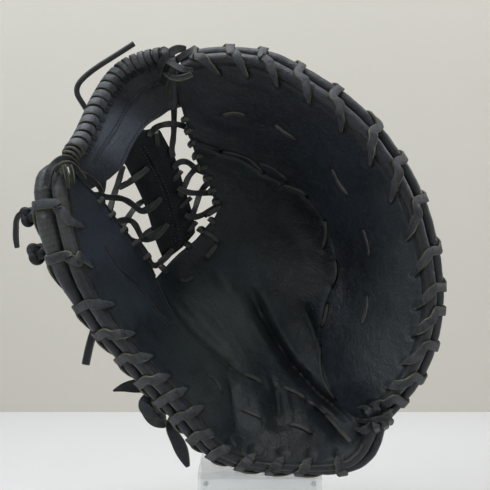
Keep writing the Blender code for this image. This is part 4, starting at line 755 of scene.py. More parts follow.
def thread_material():
    m, nt, b = shader("stitch_thread")
    at = add(nt, "TexCoord").outputs["Object"]
    w = add(nt, "TexWave", wave_type="BANDS", bands_direction="DIAGONAL")
    w.inputs["Scale"].default_value = 700
    nt.links.new(at, w.inputs["Vector"])
    nt.links.new(mix(nt, w.outputs["Fac"], (0.016, 0.018, 0.021), (0.070, 0.074, 0.082)), b.inputs["Base Color"])
    nt.links.new(bump(nt, w.outputs["Fac"], 0.0002, 0.5), b.inputs["Normal"])
    b.inputs["Roughness"].default_value = 0.55
    return m


HOLE_SHADE = hole_shade_material()
THREAD = thread_material()


# ---------------------------------------------------------------- meshes
def finish_piece(obj, slot, *nodes):
    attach(obj, "root")
    if nodes:
        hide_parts(*nodes)
    return obj


def build(name, verts, faces, mats, index=None, sharp=50):
    me = bpy.data.meshes.new(name)
    me.from_pydata([tuple(map(float, v)) for v in verts], [], faces)
    for m in mats:
        me.materials.append(m)
    if index is not None:
        me.polygons.foreach_set("material_index", np.asarray(index, np.int32))
    me.update()
    me.shade_smooth()
    me.set_sharp_from_angle(angle=math.radians(sharp))
    o = bpy.data.objects.new(name, me)
    bpy.context.scene.collection.objects.link(o)
    return o


def circle(u, w, r, n=12):
    a = np.arange(n) * 2 * math.pi / n + 0.2
    return np.stack([u + r * np.cos(a), w + r * np.sin(a)], axis=1)


def net(loop, holes, step):
    """Points and triangles that fill a closed loop and leave its holes open."""
    loop = np.asarray(loop, float)
    rings = [loop] + [np.asarray(h, float) for h in holes]
    lo, hi = loop.min(0), loop.max(0)
    grid = []
    for i, y in enumerate(np.arange(lo[1], hi[1], step * 0.866)):
        x = np.arange(lo[0] + (i % 2) * step / 2, hi[0], step)
        grid.append(np.stack([x, np.full(len(x), y)], 1))
    grid = np.concatenate(grid)
    grid = grid[inside(grid, loop)]
    grid = grid[to_line(grid, np.vstack([loop, loop[:1]]))[0] > step * 0.6]
    for h in rings[1:]:
        near = np.hypot(grid[:, 0] - h[:, 0].mean(), grid[:, 1] - h[:, 1].mean()) > np.hypot(*(h[0] - h.mean(0))) + step * 0.45
        grid = grid[near]
    coords, edges = [], []
    for r in rings:
        at = len(coords)
        coords += [Vector(map(float, p)) for p in r]
        edges += [(at + i, at + (i + 1) % len(r)) for i in range(len(r))]
    coords += [Vector(map(float, p)) for p in grid]
    out = delaunay_2d_cdt(coords, edges, [], 0, 1e-5)
    pts = np.array([tuple(v) for v in out[0]])
    tri = np.array([f for f in out[2] if len(f) == 3], int)
    mid = pts[tri].mean(1)
    keep = inside(mid, loop)
    for h in rings[1:]:
        keep &= np.hypot(mid[:, 0] - h[:, 0].mean(), mid[:, 1] - h[:, 1].mean()) > np.hypot(*(h[0] - h.mean(0))) * 0.9
    tri = tri[keep]
    a, b, c = pts[tri[:, 0]], pts[tri[:, 1]], pts[tri[:, 2]]
    area = (b[:, 0] - a[:, 0]) * (c[:, 1] - a[:, 1]) - (b[:, 1] - a[:, 1]) * (c[:, 0] - a[:, 0])
    tri[area < 0] = tri[area < 0][:, ::-1]
    used = np.unique(tri)
    back = np.full(len(pts), -1)
    back[used] = np.arange(len(used))
    return pts[used], back[tri]


def wall(name, loop, holes, step, face_front, face_back, mats, round_mm=0.9):
    """A closed leather wall between two depth surfaces, its rim rounded."""
    pts, tri = net(loop, holes, step)
    n = len(pts)
    closed = np.vstack([loop, loop[:1]])
    d = to_line(pts, closed)[0]
    soft = np.exp(-((d / 1.6) ** 2))
    f, g = face_front(pts), face_back(pts)
    thick = np.maximum(g - f, 0.6)
    f = f + np.minimum(round_mm, thick * 0.35) * soft
    g = g - np.minimum(round_mm, thick * 0.35) * soft
    verts = np.vstack([place(pts[:, 0], pts[:, 1], f), place(pts[:, 0], pts[:, 1], g)])
    faces = [tuple(t[::-1]) for t in tri.tolist()] + [tuple(x + n for x in t) for t in tri.tolist()]
    index = [0] * (2 * len(tri))
    seen = set()
    for t in tri.tolist():
        for i in range(3):
            seen.add((t[i], t[(i + 1) % 3]))
    for a, b in sorted(seen):
        if (b, a) not in seen:
            faces.append((a, b, b + n, a + n))
            index.append(1)
    return build(name, verts, faces, mats, index)


def catmull(rows, per):
    """A smooth curve through rows whose first three columns are a place in metres."""
    p = np.asarray(rows, float)
    p = np.vstack([2 * p[0] - p[1], p, 2 * p[-1] - p[-2]])
    out = []
    for i in range(1, len(p) - 2):
        k = [0.0]
        for j in range(3):
            k.append(k[-1] + max(np.linalg.norm(p[i + j, :3] - p[i + j - 1, :3]), 1e-7) ** 0.5)
        for t in np.linspace(k[1], k[2], per, endpoint=False):
            a = [(k[j + 1] - t) / (k[j + 1] - k[j]) * p[i - 1 + j] + (t - k[j]) / (k[j + 1] - k[j]) * p[i + j] for j in range(3)]
            b = [(k[j + 2] - t) / (k[j + 2] - k[j]) * a[j] + (t - k[j]) / (k[j + 2] - k[j]) * a[j + 1] for j in range(2)]
            out.append((k[2] - t) / (k[2] - k[1]) * b[0] + (t - k[1]) / (k[2] - k[1]) * b[1])
    out.append(p[-2])
    return np.array(out)


def unit(v):
    return v / np.maximum(np.linalg.norm(v, axis=-1, keepdims=True), 1e-12)


# A lace in section: places across and up, as shares of half its width and half its thickness,
# with the last two numbers fixed offsets in mm from the edge. The cut edges stand a little proud.
SECTION = [
    # side  up     in mm
    (-1, -0.45, 0.0), (-1, 0.45, 0.0), (-1, 1.05, 0.30), (-1, 1.00, 0.75), (-0.35, 0.92, 0.0),
    (0.35, 0.92, 0.0), (1, 1.00, 0.75), (1, 1.05, 0.30), (1, 0.45, 0.0), (1, -0.45, 0.0), (1, -1.0, 0.55), (-1, -1.0, 0.55),
]
SECTION_EDGE = [True, True, True, False, False, False, True, True, True, True, False, True]


class Laces:
    """Flat laces gathered into one mesh."""

    def __init__(self):
        self.verts, self.faces, self.index = [], [], []

    def add(self, path, across, wide, thick, ends=True, flip=False):
        p = np.asarray(path, float)
        n = len(p)
        t = unit(np.gradient(p, axis=0))
        a = np.broadcast_to(np.asarray(across, float), p.shape)
        a = unit(a - (a * t).sum(1, keepdims=True) * t)
        up = np.cross(t, a)
        if flip:
            up = -up
        w = np.broadcast_to(np.asarray(wide, float), (n,)) / 2
        h = np.broadcast_to(np.asarray(thick, float), (n,)) / 2
        if ends:
            taper = np.ones(n)
            taper[0] = taper[-1] = 0.82
            w, h = w * taper, h * taper
        k = len(SECTION)
        at = len(self.verts)
        ring = []
        for side, high, inn in SECTION:
            off = np.where(np.abs(side) >= 1, np.maximum(w - inn * 0.001, w * 0.3) * np.sign(side), side * w)
            ring.append(p + a * off[:, None] + up * (high * h)[:, None])
        self.verts += np.stack(ring, 1).reshape(-1, 3).tolist()
        for i in range(n - 1):
            for j in range(k):
                q = (j + 1) % k
                f = (at + i * k + j, at + i * k + q, at + (i + 1) * k + q, at + (i + 1) * k + j)
                self.faces.append(f if flip else f[::-1])
                self.index.append(1 if SECTION_EDGE[j] else 0)
        first, last = tuple(at + j for j in range(k)), tuple(at + (n - 1) * k + j for j in range(k))
        self.faces += [first[::-1], last] if flip else [first, last[::-1]]
        self.index += [1, 1]
        return self

    def make(self, name, mats):
        return build(name, self.verts, self.faces, mats, self.index, 65)


def tube(name, path, radii, sides, mats, groove=None, flat=None, closed=False):
    """A roll along a path; groove = (angle, share) sinks one line along it."""
    p = np.asarray(path, float)
    n = len(p)
    t = unit(np.roll(p, -1, 0) - np.roll(p, 1, 0)) if closed else unit(np.gradient(p, axis=0))
    ref = np.tile(np.array([0.0, -1.0, 0.0]), (n, 1))
    a = unit(ref - (ref * t).sum(1, keepdims=True) * t)
    b = np.cross(t, a)
    r = np.broadcast_to(np.asarray(radii, float), (n,))
    verts = []
    for j in range(sides):
        ang = 2 * math.pi * j / sides
        k = r.copy() if flat is None else r * flat(ang)
        if groove is not None:
            gap = (ang - groove[0] + math.pi) % (2 * math.pi) - math.pi
            k = k * (1 - groove[1] * math.exp(-((gap / 0.22) ** 2)))
        verts.append(p + (a * math.cos(ang) + b * math.sin(ang)) * k[:, None])
    verts = np.stack(verts, 1).reshape(-1, 3)
    faces = []
    for i in range(n if closed else n - 1):
        for j in range(sides):
            q, i2 = (j + 1) % sides, (i + 1) % n
            faces.append((i * sides + j, i2 * sides + j, i2 * sides + q, i * sides + q))
    if not closed:
        for end, sign in ((0, 1), (n - 1, -1)):
            ring = [end * sides + j for j in range(sides)]
            faces.append(tuple(ring if sign > 0 else ring[::-1]))
    return build(name, verts, faces, mats, None, 60)


# ---------------------------------------------------------------- front panels
def ring_of(*lines):
    out = []
    for line in lines:
        for p in line:
            if not out or np.hypot(out[-1][0] - p[0], out[-1][1] - p[1]) > 1.2:
                out.append((float(p[0]), float(p[1])))
    if np.hypot(out[0][0] - out[-1][0], out[0][1] - out[-1][1]) < 1.2:
        out.pop()
    return out


FINE = 2.3
# Low on the heel the panel folds over the front roll, which shows only as a slim edge.
HEEL = np.array(HEEL, float)
low = np.exp(-(((HEEL[:, 0] - 285) / 78) ** 4)) * ease((HEEL[:, 1] - 432) / 14)
HEEL[:, 1] += 2.4 * low
HEEL[:, 5] *= 1 - 0.30 * low
HEEL_HOLES = [(u, w + 5.0 * math.exp(-(((u - 285) / 78) ** 4)) * (w > 430), tu, tw) for u, w, tu, tw in HEEL_HOLES]
FINGER_RIMLINE = inset(FINGER[:, 0:2], units(FINGER[:, 5] + 0.08, FINGER[:, 4]), 1)
HEEL_RIMLINE = inset(HEEL[:, 0:2], units(HEEL[:, 5] + 0.08, HEEL[:, 4]), 1)
seam = spline(SEAM, 160)
finger_side = inset(seam, 1.2, 1)
pocket_side = inset(seam, 0.2, -1)
finger_loop = ring_of(
    evenly(FINGER_RIMLINE[2:-1], FINE),
    [(374, 421), (371, 428), (365, 430)],
    evenly(finger_side[::-1], FINE)[1:],
    evenly(spline(WEB_EDGE_FINGER, 60), FINE)[1:],
)
palm_loop = ring_of(
    evenly(HEEL_RIMLINE[1:-2], FINE),
    evenly(spline(THUMB_EDGE, 60), FINE),
    evenly(spline(WEB_BASE, 60), FINE),
    evenly(spline(WEB_EDGE_POCKET, 60), FINE)[:-1],
    evenly(pocket_side, FINE)[1:],
    [(366, 422), (371, 424)],
)


def under(points):
    """The finger panel's surface, which dips a little under the palm's edge at the seam."""
    far, _ = to_line(points, seam)
    return skin(points) + 1.9 * np.exp(-((far / 2.4) ** 2))


for name, loop, holes, mats in (
    ("finger_panel", finger_loop, FINGER_HOLES, [FACE, CUT]),
    ("palm_panel", palm_loop, HEEL_HOLES, [PALM, CUT]),
):
    o = wall(name + "_leather", loop, [], FINE, lambda p, f=under if name == "finger_panel" else skin: np.minimum(f(p), front_back(p) - 1.2), front_back, mats)
    finish_piece(o, "mat_" + name, name)



def punched(name, slot, places, depth_of, sign, radius):
    """Punched holes that the laces run into: shallow dents coloured near black, painted shade for the depth of each
    hole.
    """
    verts, faces = [], []
    for u, w in places:
        base = len(verts)
        for r, lift in ((radius, 0.10), (radius * 0.86, 0.02), (radius * 0.5, -0.55), (0.02, -0.8)):
            c = circle(u, w, r, 16)
            d = depth_of(c)
            verts += list(place(c[:, 0], c[:, 1], d + sign * lift))
        for k in range(3):
            for j in range(16):
                q = (j + 1) % 16
                f = (base + k * 16 + j, base + k * 16 + q, base + k * 16 + 16 + q, base + k * 16 + 16 + j)
                faces.append(f if sign > 0 else f[::-1])
        # a shallow skirt below the rim, so that the piece is closed to the leather
        c = circle(u, w, radius * 1.05, 16)
        verts += list(place(c[:, 0], c[:, 1], depth_of(c) - sign * 0.5))
        for j in range(16):
            q = (j + 1) % 16
            f = (base + j, base + 64 + j, base + 64 + q, base + q)
            faces.append(f if sign > 0 else f[::-1])
    return finish_piece(build(name, verts, faces, [HOLE_SHADE]), "mat_" + slot)




def past(h, by=1.9):
    """A hole's middle, a little past where the lace meets the leather."""
    d = np.array([h[0] - h[2], h[1] - h[3]], float)
    d /= np.linalg.norm(d)
    return h[0] + d[0] * by, h[1] + d[1] * by


punched("finger_lace_holes", "finger_panel", [past(h) for h in FINGER_HOLES], skin, -1, 2.9)
punched("palm_lace_holes", "palm_panel", [past(h) for h in HEEL_HOLES], skin, -1, 2.9)
punched("finger_stitch_holes", "finger_panel", [tuple(q) for n_, q_, _ in PANEL_LACES if n_.startswith("finger") for q in (q_[0], q_[-1])], skin, -1, 1.9)
punched("palm_stitch_holes", "palm_panel", [tuple(q) for n_, q_, _ in PANEL_LACES if not n_.startswith("finger") for q in (q_[0], q_[-1])], skin, -1, 1.7)

# A dark welt closes the seam between each panel and its front roll.
for name, slot, line in (("finger_welt", "finger_panel", FINGER_RIMLINE[2:-1]), ("heel_welt", "palm_panel", HEEL_RIMLINE[1:-2])):
    r = evenly(line, 4.0)
    finish_piece(tube(name, place(r[:, 0], r[:, 1], skin(r) + 2.8), 0.0020, 10, [CUT]), "mat_" + slot)

# Turned edges: the web side of the finger panel, the thumb's inner edge and the web's base.
for name, slot, rows, radius in (
    ("finger_panel_turned_edge", "finger_panel", [(178, 84), (180, 96), (183.5, 111), (187.5, 127), (191.5, 139.5), (200, 143.5), (214, 149)], 0.85),
    ("thumb_turned_edge", "palm_panel", [(80, 180), (90, 189.5), (105.5, 205), (119.5, 224), (135.5, 243), (149, 263), (155, 276)], 0.8),
    ("pocket_turned_edge", "palm_panel", [(195, 152), (199, 164.5), (208, 179.5), (212, 191.5), (216, 202), (217.5, 211)], 0.75),
):
    r = spline(rows, 60)
    p = place(r[:, 0], r[:, 1], skin(r) + 0.2)
    o = tube(name, p, radius * 0.001, 10, [ROLL])
    finish_piece(o, "mat_" + slot)


# ---------------------------------------------------------------- rolls
def lace_rows(line, tops):
    return [float(np.argmin(np.hypot(line[:, 0] - u, line[:, 1] - w))) for u, w in tops]


def bulge(rim, line, holes, hard):
    """Radius share at each row: a little fuller between laces, pinched under each."""
    k = np.arange(len(rim))
    out = np.ones(len(rim))
    for row in lace_rows(line, [(h[2], h[3]) for h in holes]) + lace_rows(line, [(h[0], h[1]) for h in holes]):
        out -= hard * np.exp(-(((k - row) / 2.6) ** 2)) * 0.6
    out += 0.018 * np.sin(k * 0.9) + 0.012 * np.sin(k * 2.3 + 1)
    return out


for side, rim, holes in (("finger", FINGER, FINGER_HOLES), ("heel", HEEL, HEEL_HOLES)):
    k = np.linspace(0, len(rim) - 1, len(rim) * (2))
    fine = np.column_stack([np.interp(k, np.arange(len(rim)), rim[:, c]) for c in range(rim.shape[1])])
    for where, (u, w, d, r), line in (("front", (0, 1, 4, 5), rim[:, 0:2]), ("back", (2, 3, 7, 6), rim[:, 2:4])):
        share = np.interp(k, np.arange(len(rim)), bulge(rim, line, holes, 0.05))
        name = f"{side}_{where}_roll"
        o = tube(name + "_leather", place(fine[:, u], fine[:, w], fine[:, d]), fine[:, r] * 0.001 * share, 24, [ROLL], groove=(2.3 if where == "front" else -2.3, 0.10))
        finish_piece(o, "mat_" + name, name)

# The rolls run together at the heel's corner, under the crossed laces.
for name, slot, (u, w, d, r) in (("heel_corner_front_fold", "mat_heel_front_roll", (0, 1, 4, 5)), ("heel_corner_back_fold", "mat_heel_back_roll", (2, 3, 7, 6))):
    rows = np.array([list(place(t[k, u], t[k, w], t[k, d])) + [t[k, r]] for t, k in ((FINGER, -4), (FINGER, -2), (FINGER, -1), (HEEL, 0), (HEEL, 1), (HEEL, 3))])
    rows = catmull(rows, 6)
    finish_piece(tube(name, rows[:, :3], rows[:, 3] * 0.00096, 18, [ROLL]), slot)

# ---------------------------------------------------------------- back shells
# ---------------------------------------------------------------- back shells
cut = lambda line, a, b: line[int(a * len(line)) : int(b * len(line))]
finger_open = [(431, 320), (412, 322), (390, 332), (360, 340), (328, 340), (303, 336)]
finger_inner = [(303, 336), (288, 314), (272, 290), (256, 266), (242, 244), (231, 224)]
FINGER_SHELL_END = int(np.argmin(np.hypot(FINGER_SHELL_LINE[:, 0] - finger_open[0][0], FINGER_SHELL_LINE[:, 1] - finger_open[0][1]))) / len(FINGER)
finger_closed = [FINGER_SHELL_LINE[::6], spline(finger_inner, 20), spline(WEB_EDGE_POCKET, 20), spline(WEB_EDGE_FINGER, 12)]
finger_back_loop = ring_of(
    evenly(cut(FINGER_SHELL_LINE, 0.02, FINGER_SHELL_END), 12),
    evenly(spline(finger_open, 20), 12)[1:],
    evenly(spline(finger_inner, 20), 12),
    evenly(inset(spline(WEB_EDGE_POCKET + WEB_EDGE_FINGER[1:], 60), 9.5, 1), 12)[2:],
)
ROOM = 20.0


def shell_pair(closed, room, rise=22.0, skin=2.2):
    f = lambda p: shell_face(p, closed, room, rise)
    b = lambda p: shell_face(p, closed, room, rise) + skin * np.minimum(slant(SKIN_FIELD, p), 1.7)
    return f, b


thumb_open = [(142, 373), (160, 362), (180, 355), (196, 350), (206, 343)]
THUMB_SHELL_START = int(np.argmin(np.hypot(HEEL_SHELL_LINE[:, 0] - thumb_open[0][0], HEEL_SHELL_LINE[:, 1] - thumb_open[0][1]))) / len(HEEL)
thumb_inner = [(206, 343), (187, 325), (168, 305), (152, 287), (139, 268), (127, 251), (112, 233), (98, 215), (83, 199), (74, 191)]
thumb_closed = [HEEL_SHELL_LINE[::6], spline(thumb_inner, 30)]
thumb_back_loop = ring_of(
    evenly(cut(HEEL_SHELL_LINE, THUMB_SHELL_START, 0.985), 12),
    evenly(spline(thumb_inner[::-1], 40), 12),
    evenly(spline(thumb_open[::-1], 16), 12)[1:-1],
)

# Two seams part the back into three panels, each from the opening up to the rim.
BACK_SEAMS = [
    [(377, 350), (374, 336.5), (364, 290), (344, 232), (316, 180), (286, 120), (270, 84), (260, 50)],
    [(325, 352), (322, 339.5), (306, 296), (282, 250), (252, 200), (226, 150), (210, 100), (202, 48)],
]
BACK_NAMES = ["finger_back_outer", "finger_back_middle", "finger_back_inner"]


def part_loop(loop, line, side, gap=0.55):
    """The part of a loop on one side of a line that crosses it from end to end."""
    loop, line = np.asarray(loop, float), np.asarray(line, float)
    edge = inset(line, gap / 2, 1 if side > 0 else -1)
    where = []
    for p in loop:
        far, _ = to_line([p], line)
        i = int(np.argmin(np.hypot(*(line[:-1] + line[1:] - 2 * p).T)))
        d = line[i + 1] - line[i]
        where.append((d[0] * (p[1] - line[i, 1]) - d[1] * (p[0] - line[i, 0])) * side > 0 and far[0] > 3.0)
    k = len(loop)
    start = next(i for i in range(k) if where[i] and not where[i - 1])
    run = []
    while where[start % k]:
        run.append(loop[start % k])
        start += 1
    run = np.array(run)
    cut_in = edge[inside(edge, loop)]
    if np.hypot(*(cut_in[0] - run[-1])) > np.hypot(*(cut_in[-1] - run[-1])):
        cut_in = cut_in[::-1]
    return ring_of(run, evenly(cut_in, 12))



def back_relief(points):
    p = np.asarray(points, float)[:, :2]
    out = 0.35 * lattice(p / 15.0 + 30, 71) + 0.18 * lattice(p / 6.0 + 30, 72)
    for path in BACK_GROOVES:
        far, along = to_line(p, path)
        out += -1.0 * np.exp(-((far / 1.8) ** 2)) * ease(np.minimum(along, 1 - along) * 8)
    return out


BACK_GROOVES = [spline(path, 30) for path in (
    [(377, 340), (374, 336.5), (364, 290), (344, 232), (316, 180), (286, 120), (270, 84), (264, 64)],
    [(325, 345), (322, 339.5), (306, 296), (282, 250), (252, 200), (226, 150), (210, 100), (203, 64)],
    [(150, 356), (122, 318), (98, 276), (82, 232)],
)]
COARSE = 3.6
ff, fb = shell_pair(finger_closed, ROOM)
tf, tb = shell_pair(thumb_closed, ROOM - 1, 15.5)
seam_1, seam_2 = (evenly(spline(path, 60), 3.0) for path in BACK_SEAMS)
rest = part_loop(finger_back_loop, seam_1, -1, 0.2)
BACK_LOOPS = [part_loop(finger_back_loop, seam_1, 1, 0.2), part_loop(rest, seam_2, 1, 0.2), part_loop(rest, seam_2, -1, 0.2)]
in_shell = [(h[0], h[1]) for h in FINGER_HOLES if inside([(h[0], h[1])], finger_back_loop)[0] and to_line([(h[0], h[1])], np.vstack([finger_back_loop, finger_back_loop[:1]]))[0][0] > 5]
in_thumb = [(h[0], h[1]) for h in HEEL_HOLES if inside([(h[0], h[1])], thumb_back_loop)[0] and to_line([(h[0], h[1])], np.vstack([thumb_back_loop, thumb_back_loop[:1]]))[0][0] > 5]


def refine(loop, step):
    return evenly(np.vstack([loop, loop[:1]]), step)[:-1]


for name, loop, holes, fa, fz in (
    *((n, part, in_shell, ff, fb) for n, part in zip(BACK_NAMES, BACK_LOOPS)),
    ("thumb_back", thumb_back_loop, in_thumb, tf, tb),
):
    o = wall(name + "_leather", refine(loop, COARSE), [], COARSE, fa, lambda p, fz=fz: fz(p) - back_relief(p) * 0.9, [SHELL, CUT], 0.6)
    finish_piece(o, "mat_" + name, name)


def stitches(name, slot, lines, pitch=3.0, share=0.62, radius=0.32):
    """Rows of thread stitches along lines of places in metres with their outward directions."""
    verts, faces = [], []
    for line, normal in lines:
        p = np.asarray(line, float)
        s = np.concatenate([[0], np.cumsum(np.linalg.norm(np.diff(p, axis=0), axis=1))])
        n = int(s[-1] / (pitch * 0.001))
        at = lambda t, p=p, s=s: np.array([np.interp(t, s, p[:, j]) for j in range(3)])
        nm = lambda t, q=np.asarray(normal, float), s=s: np.array([np.interp(t, s, q[:, j]) for j in range(3)])
        for i in range(n):
            a, b = (i + 0.5 - share / 2) * pitch * 0.001, (i + 0.5 + share / 2) * pitch * 0.001
            base = len(verts)
            rows = []
            for k, (f, r, up) in enumerate(((0, 0.35, -0.15), (0.12, 0.9, 0.1), (0.5, 1.0, 0.22), (0.88, 0.9, 0.1), (1, 0.35, -0.15))):
                t = a + (b - a) * f
                rows.append((at(t) + nm(t) * up * 0.001, r * radius * 0.001))
            d = unit(rows[-1][0] - rows[0][0])
            side = unit(np.cross(d, nm((a + b) / 2)))
            up = np.cross(side, d)
            for c, r in rows:
                for j in range(6):
                    g = j * math.pi / 3
                    verts.append(c + (side * math.cos(g) + up * math.sin(g)) * r)
            for k in range(4):
                for j in range(6):
                    q = (j + 1) % 6
                    faces.append((base + k * 6 + j, base + k * 6 + q, base + k * 6 + 6 + q, base + k * 6 + 6 + j))
            faces.append(tuple(base + j for j in range(5, -1, -1)))
            faces.append(tuple(base + 24 + j for j in range(6)))
    o = build(name, verts, faces, [THREAD], None, 60)
    return finish_piece(o, "mat_" + slot)


def on_surface(rows, depth_of, sign, lift=0.0, n=80):
    """A line on a depth surface and its outward direction; sign -1 is the front, +1 the back."""
    r = spline(rows, n) if len(rows) > 2 else np.linspace(rows[0], rows[1], n)
    r = r[:, :2]
    e = 1.0
    d = depth_of(r)
    p = place(r[:, 0], r[:, 1], d + sign * lift)
    pu, pw = place(r[:, 0] + e, r[:, 1], depth_of(r + [e, 0])) - place(r[:, 0], r[:, 1], d), place(r[:, 0], r[:, 1] + e, depth_of(r + [0, e])) - place(r[:, 0], r[:, 1], d)
    nrm = unit(np.cross(pu, pw))
    nrm *= np.sign(nrm[:, 1:2] * sign)
    return p, nrm


back_fb = lambda p: fb(p) - back_relief(p) * 0.9
back_tb = lambda p: tb(p) - back_relief(p) * 0.9
rows = []
for path in BACK_GROOVES[:2]:
    for off in (-3.2, 3.2):
        rows.append(on_surface(inset(path, off, 1)[2:-2], back_fb, 1, 0.1))
for off in (-3.2, 3.2):
    rows.append(on_surface(inset(BACK_GROOVES[2], off, 1)[2:-2], back_tb, 1, 0.1))
stitches("back_seam_stitching", "finger_back_middle", rows)
for name, slot, path, fa, fz in (
    ("finger_opening_binding", "finger_back_middle", [(428, 320)] + finger_open[1:], ff, back_fb),
    ("thumb_opening_binding", "thumb_back", [(146, 371)] + thumb_open[1:], tf, back_tb),
):
    r = spline(path, 70)
    mid = (fa(r) + fz(r)) / 2
    o = tube(name, place(r[:, 0], r[:, 1], mid), 0.0021, 14, [ROLL])
    finish_piece(o, "mat_" + slot)

# ---------------------------------------------------------------- web
# Centre line of the web's top roll.
WEB_TOP = [
    (67.5, 160, -45), (73, 152, -39), (80, 141, -30), (87, 127, -18), (94, 111, -6), (103, 94, 4),
    (113, 79, 11), (127, 66.5, 15), (144, 59.5, 14), (160, 56, 9), (170.5, 55, 6),
]
WEB_SKIN = [
    # place          u    w   depth
    ("band_top_a", 77, 169, -36), ("band_top_b", 90, 146, -20), ("band_top_c", 97, 128, -8),
    ("band_top_d", 104, 112, 2), ("band_top_e", 112, 98, 10), ("band_top_f", 122, 84, 16),
    ("band_top_g", 134, 75, 19), ("band_top_h", 151, 69, 18), ("band_top_i", 172, 66, 12),
    ("band_low_a", 93, 185, -12), ("band_low_b", 117, 173, 9), ("band_low_c", 128, 155, 22),
    ("band_low_d", 142, 131, 31), ("band_low_e", 160, 117, 34), ("band_low_f", 175, 107, 30),
    ("band_mid_a", 117, 132, 13), ("band_mid_b", 150, 93, 27), ("band_mid_c", 104, 160, -3),
]
POST_SKIN = [
    ("post_top_left", 130, 150, 36), ("post_top_right", 161, 130, 43), ("post_left_a", 130, 176, 37),
    ("post_left_b", 145, 207, 46), ("post_left_c", 156, 240, 53), ("post_right_a", 174, 163, 51),
    ("post_right_b", 185, 196, 58), ("post_right_c", 194, 228, 65), ("post_mid", 158, 190, 53),
    ("post_foot_a", 164, 257, 57), ("post_foot_b", 180, 247, 63),
]
WEB_FIELD = Field([r[1:] for r in WEB_SKIN], 0.002)
POST_FIELD = Field([r[1:] for r in POST_SKIN], 0.002)
BAND_LOW = [(174, 105), (168, 111), (160, 117), (150, 123), (142, 131), (134, 143), (128, 155), (123, 166), (115, 174), (105, 181), (94, 186), (85, 181), (79, 173)]
POST_LEFT = [(128, 152), (126, 166), (132, 178), (139, 192), (148, 215), (155, 239), (162, 257)]
POST_RIGHT = [(195, 233), (194, 226), (189, 208), (183, 192), (179, 179), (172, 161), (163, 145), (159, 130)]
BAND_MM, POST_MM = 3.0, 3.4

web_top = spline(WEB_TOP, 90)
band_top = inset(web_top, units(7.4, web_top[:, 2]), 1)
band_loop = ring_of(evenly(band_top[9:-1], 10), [(173.5, 78), (174, 92)], evenly(spline(BAND_LOW, 40), 10))
post_loop = ring_of(evenly(spline(POST_LEFT, 30), 9), [(170, 257), (183, 247)], evenly(spline(POST_RIGHT, 30), 9))

def band_front(p):
    return WEB_FIELD.at(p)


def band_back(p):
    return WEB_FIELD.at(p) + BAND_MM * slant(WEB_FIELD, p)


def post_front(p):
    return POST_FIELD.at(p)


def post_back(p):
    return POST_FIELD.at(p) + POST_MM * slant(POST_FIELD, p)


BAND_TURNS = 16


def band_skin(p):
    q = np.asarray(p, float)[:, :2]
    out = WEB_FIELD.at(q) + 9.0 * ease((q[:, 0] - 171) / 9) + 0.22 * lattice(q / 12 + 30, 31) + 0.12 * lattice(q / 5 + 30, 32)
    d = to_line(q, BAND_SEAM)[0]
    out += 0.9 * np.exp(-((d / 2.8) ** 2))
    out += 1.5 * np.exp(-(((q[:, 0] - 113) / 10) ** 2) - ((q[:, 1] - 140) / 12) ** 2) * lattice(np.stack([(q[:, 0] + q[:, 1]) / 3.2 + 30, (q[:, 0] - q[:, 1]) / 15 + 30], 1), 33)
    for u, w in BAND_PITS:
        out += 0.9 * np.exp(-((np.hypot(q[:, 0] - u, q[:, 1] - w) / 2.2) ** 2))
    return out


def post_skin(p):
    q = np.asarray(p, float)[:, :2]
    d = to_line(q, POST_SEAM)[0]
    return POST_FIELD.at(q) + 0.8 * np.exp(-((d / 1.6) ** 2)) - 0.5 * np.exp(-(((d - 4.5) / 3.0) ** 2)) + 0.2 * lattice(q / 10 + 30, 41) + 0.12 * lattice(q / 5 + 30, 42)


BAND_SEAM = spline([(94, 163), (100, 152), (107, 141), (117, 126), (127, 108), (138, 95), (152, 86), (168, 82)], 60)
POST_SEAM = spline([(142, 147), (157, 173), (168, 200), (175, 227), (178, 244)], 40)
band_low_pits = inset(web_top, units(10.0, web_top[:, 2]), 1)
TURN_ROWS = np.interp((np.arange(BAND_TURNS) + 0.45) / BAND_TURNS, [0, 0.12, 0.60, 0.72, 1.0], [7.5, 16, 58, 66, 86])
BAND_PITS = [tuple(band_low_pits[int(i)]) for i in TURN_ROWS]
band_loop = ring_of(evenly(inset(web_top, units(3.0, web_top[:, 2]), 1)[3:-1], 4), [(182, 66), (187, 76), (189, 92), (186, 106), (178, 108)], evenly(spline(BAND_LOW[1:9] + [(106, 181), (98, 184.5), (92, 189), (84, 189), (76, 181), (73, 172)], 60), 4))
post_loop = ring_of(evenly(spline(POST_LEFT[1:], 40), 4), [(170, 257), (183, 247)], evenly(spline([(195, 233), (195, 226), (191, 208), (186, 192), (182, 179), (176.5, 161), (167, 143), (160, 130)], 40), 4), [(152, 128.5), (144, 130), (138, 126), (128, 134), (120, 148), (120, 158)])
for name, loop, fa, fz in (("web_band", refine(band_loop, 2.6), band_skin, band_back), ("web_post", refine(post_loop, 2.4), post_skin, post_back)):
    o = wall(name + "_leather", loop, [], 2.2, fa, lambda p, fa=fa: fa(p) + 3.0, [BAND if name == "web_band" else POST, CUT], 0.8)
    finish_piece(o, "mat_" + name, name)
rows = [on_surface(inset(BAND_SEAM, off, 1), band_skin, -1, 0.1) for off in (-1.7, 1.7)]
rows += [on_surface(inset(spline(BAND_LOW[1:-2], 60), 3.2, 1)[2:-2], band_skin, -1, 0.1)]
stitches("web_band_stitching", "web_band", rows, 2.6, radius=0.42)
rows = [on_surface(inset(POST_SEAM, off, 1), post_skin, -1, 0.1) for off in (-2.2, 2.2)]
stitches("web_post_stitching", "web_post", rows, 2.6, radius=0.36)

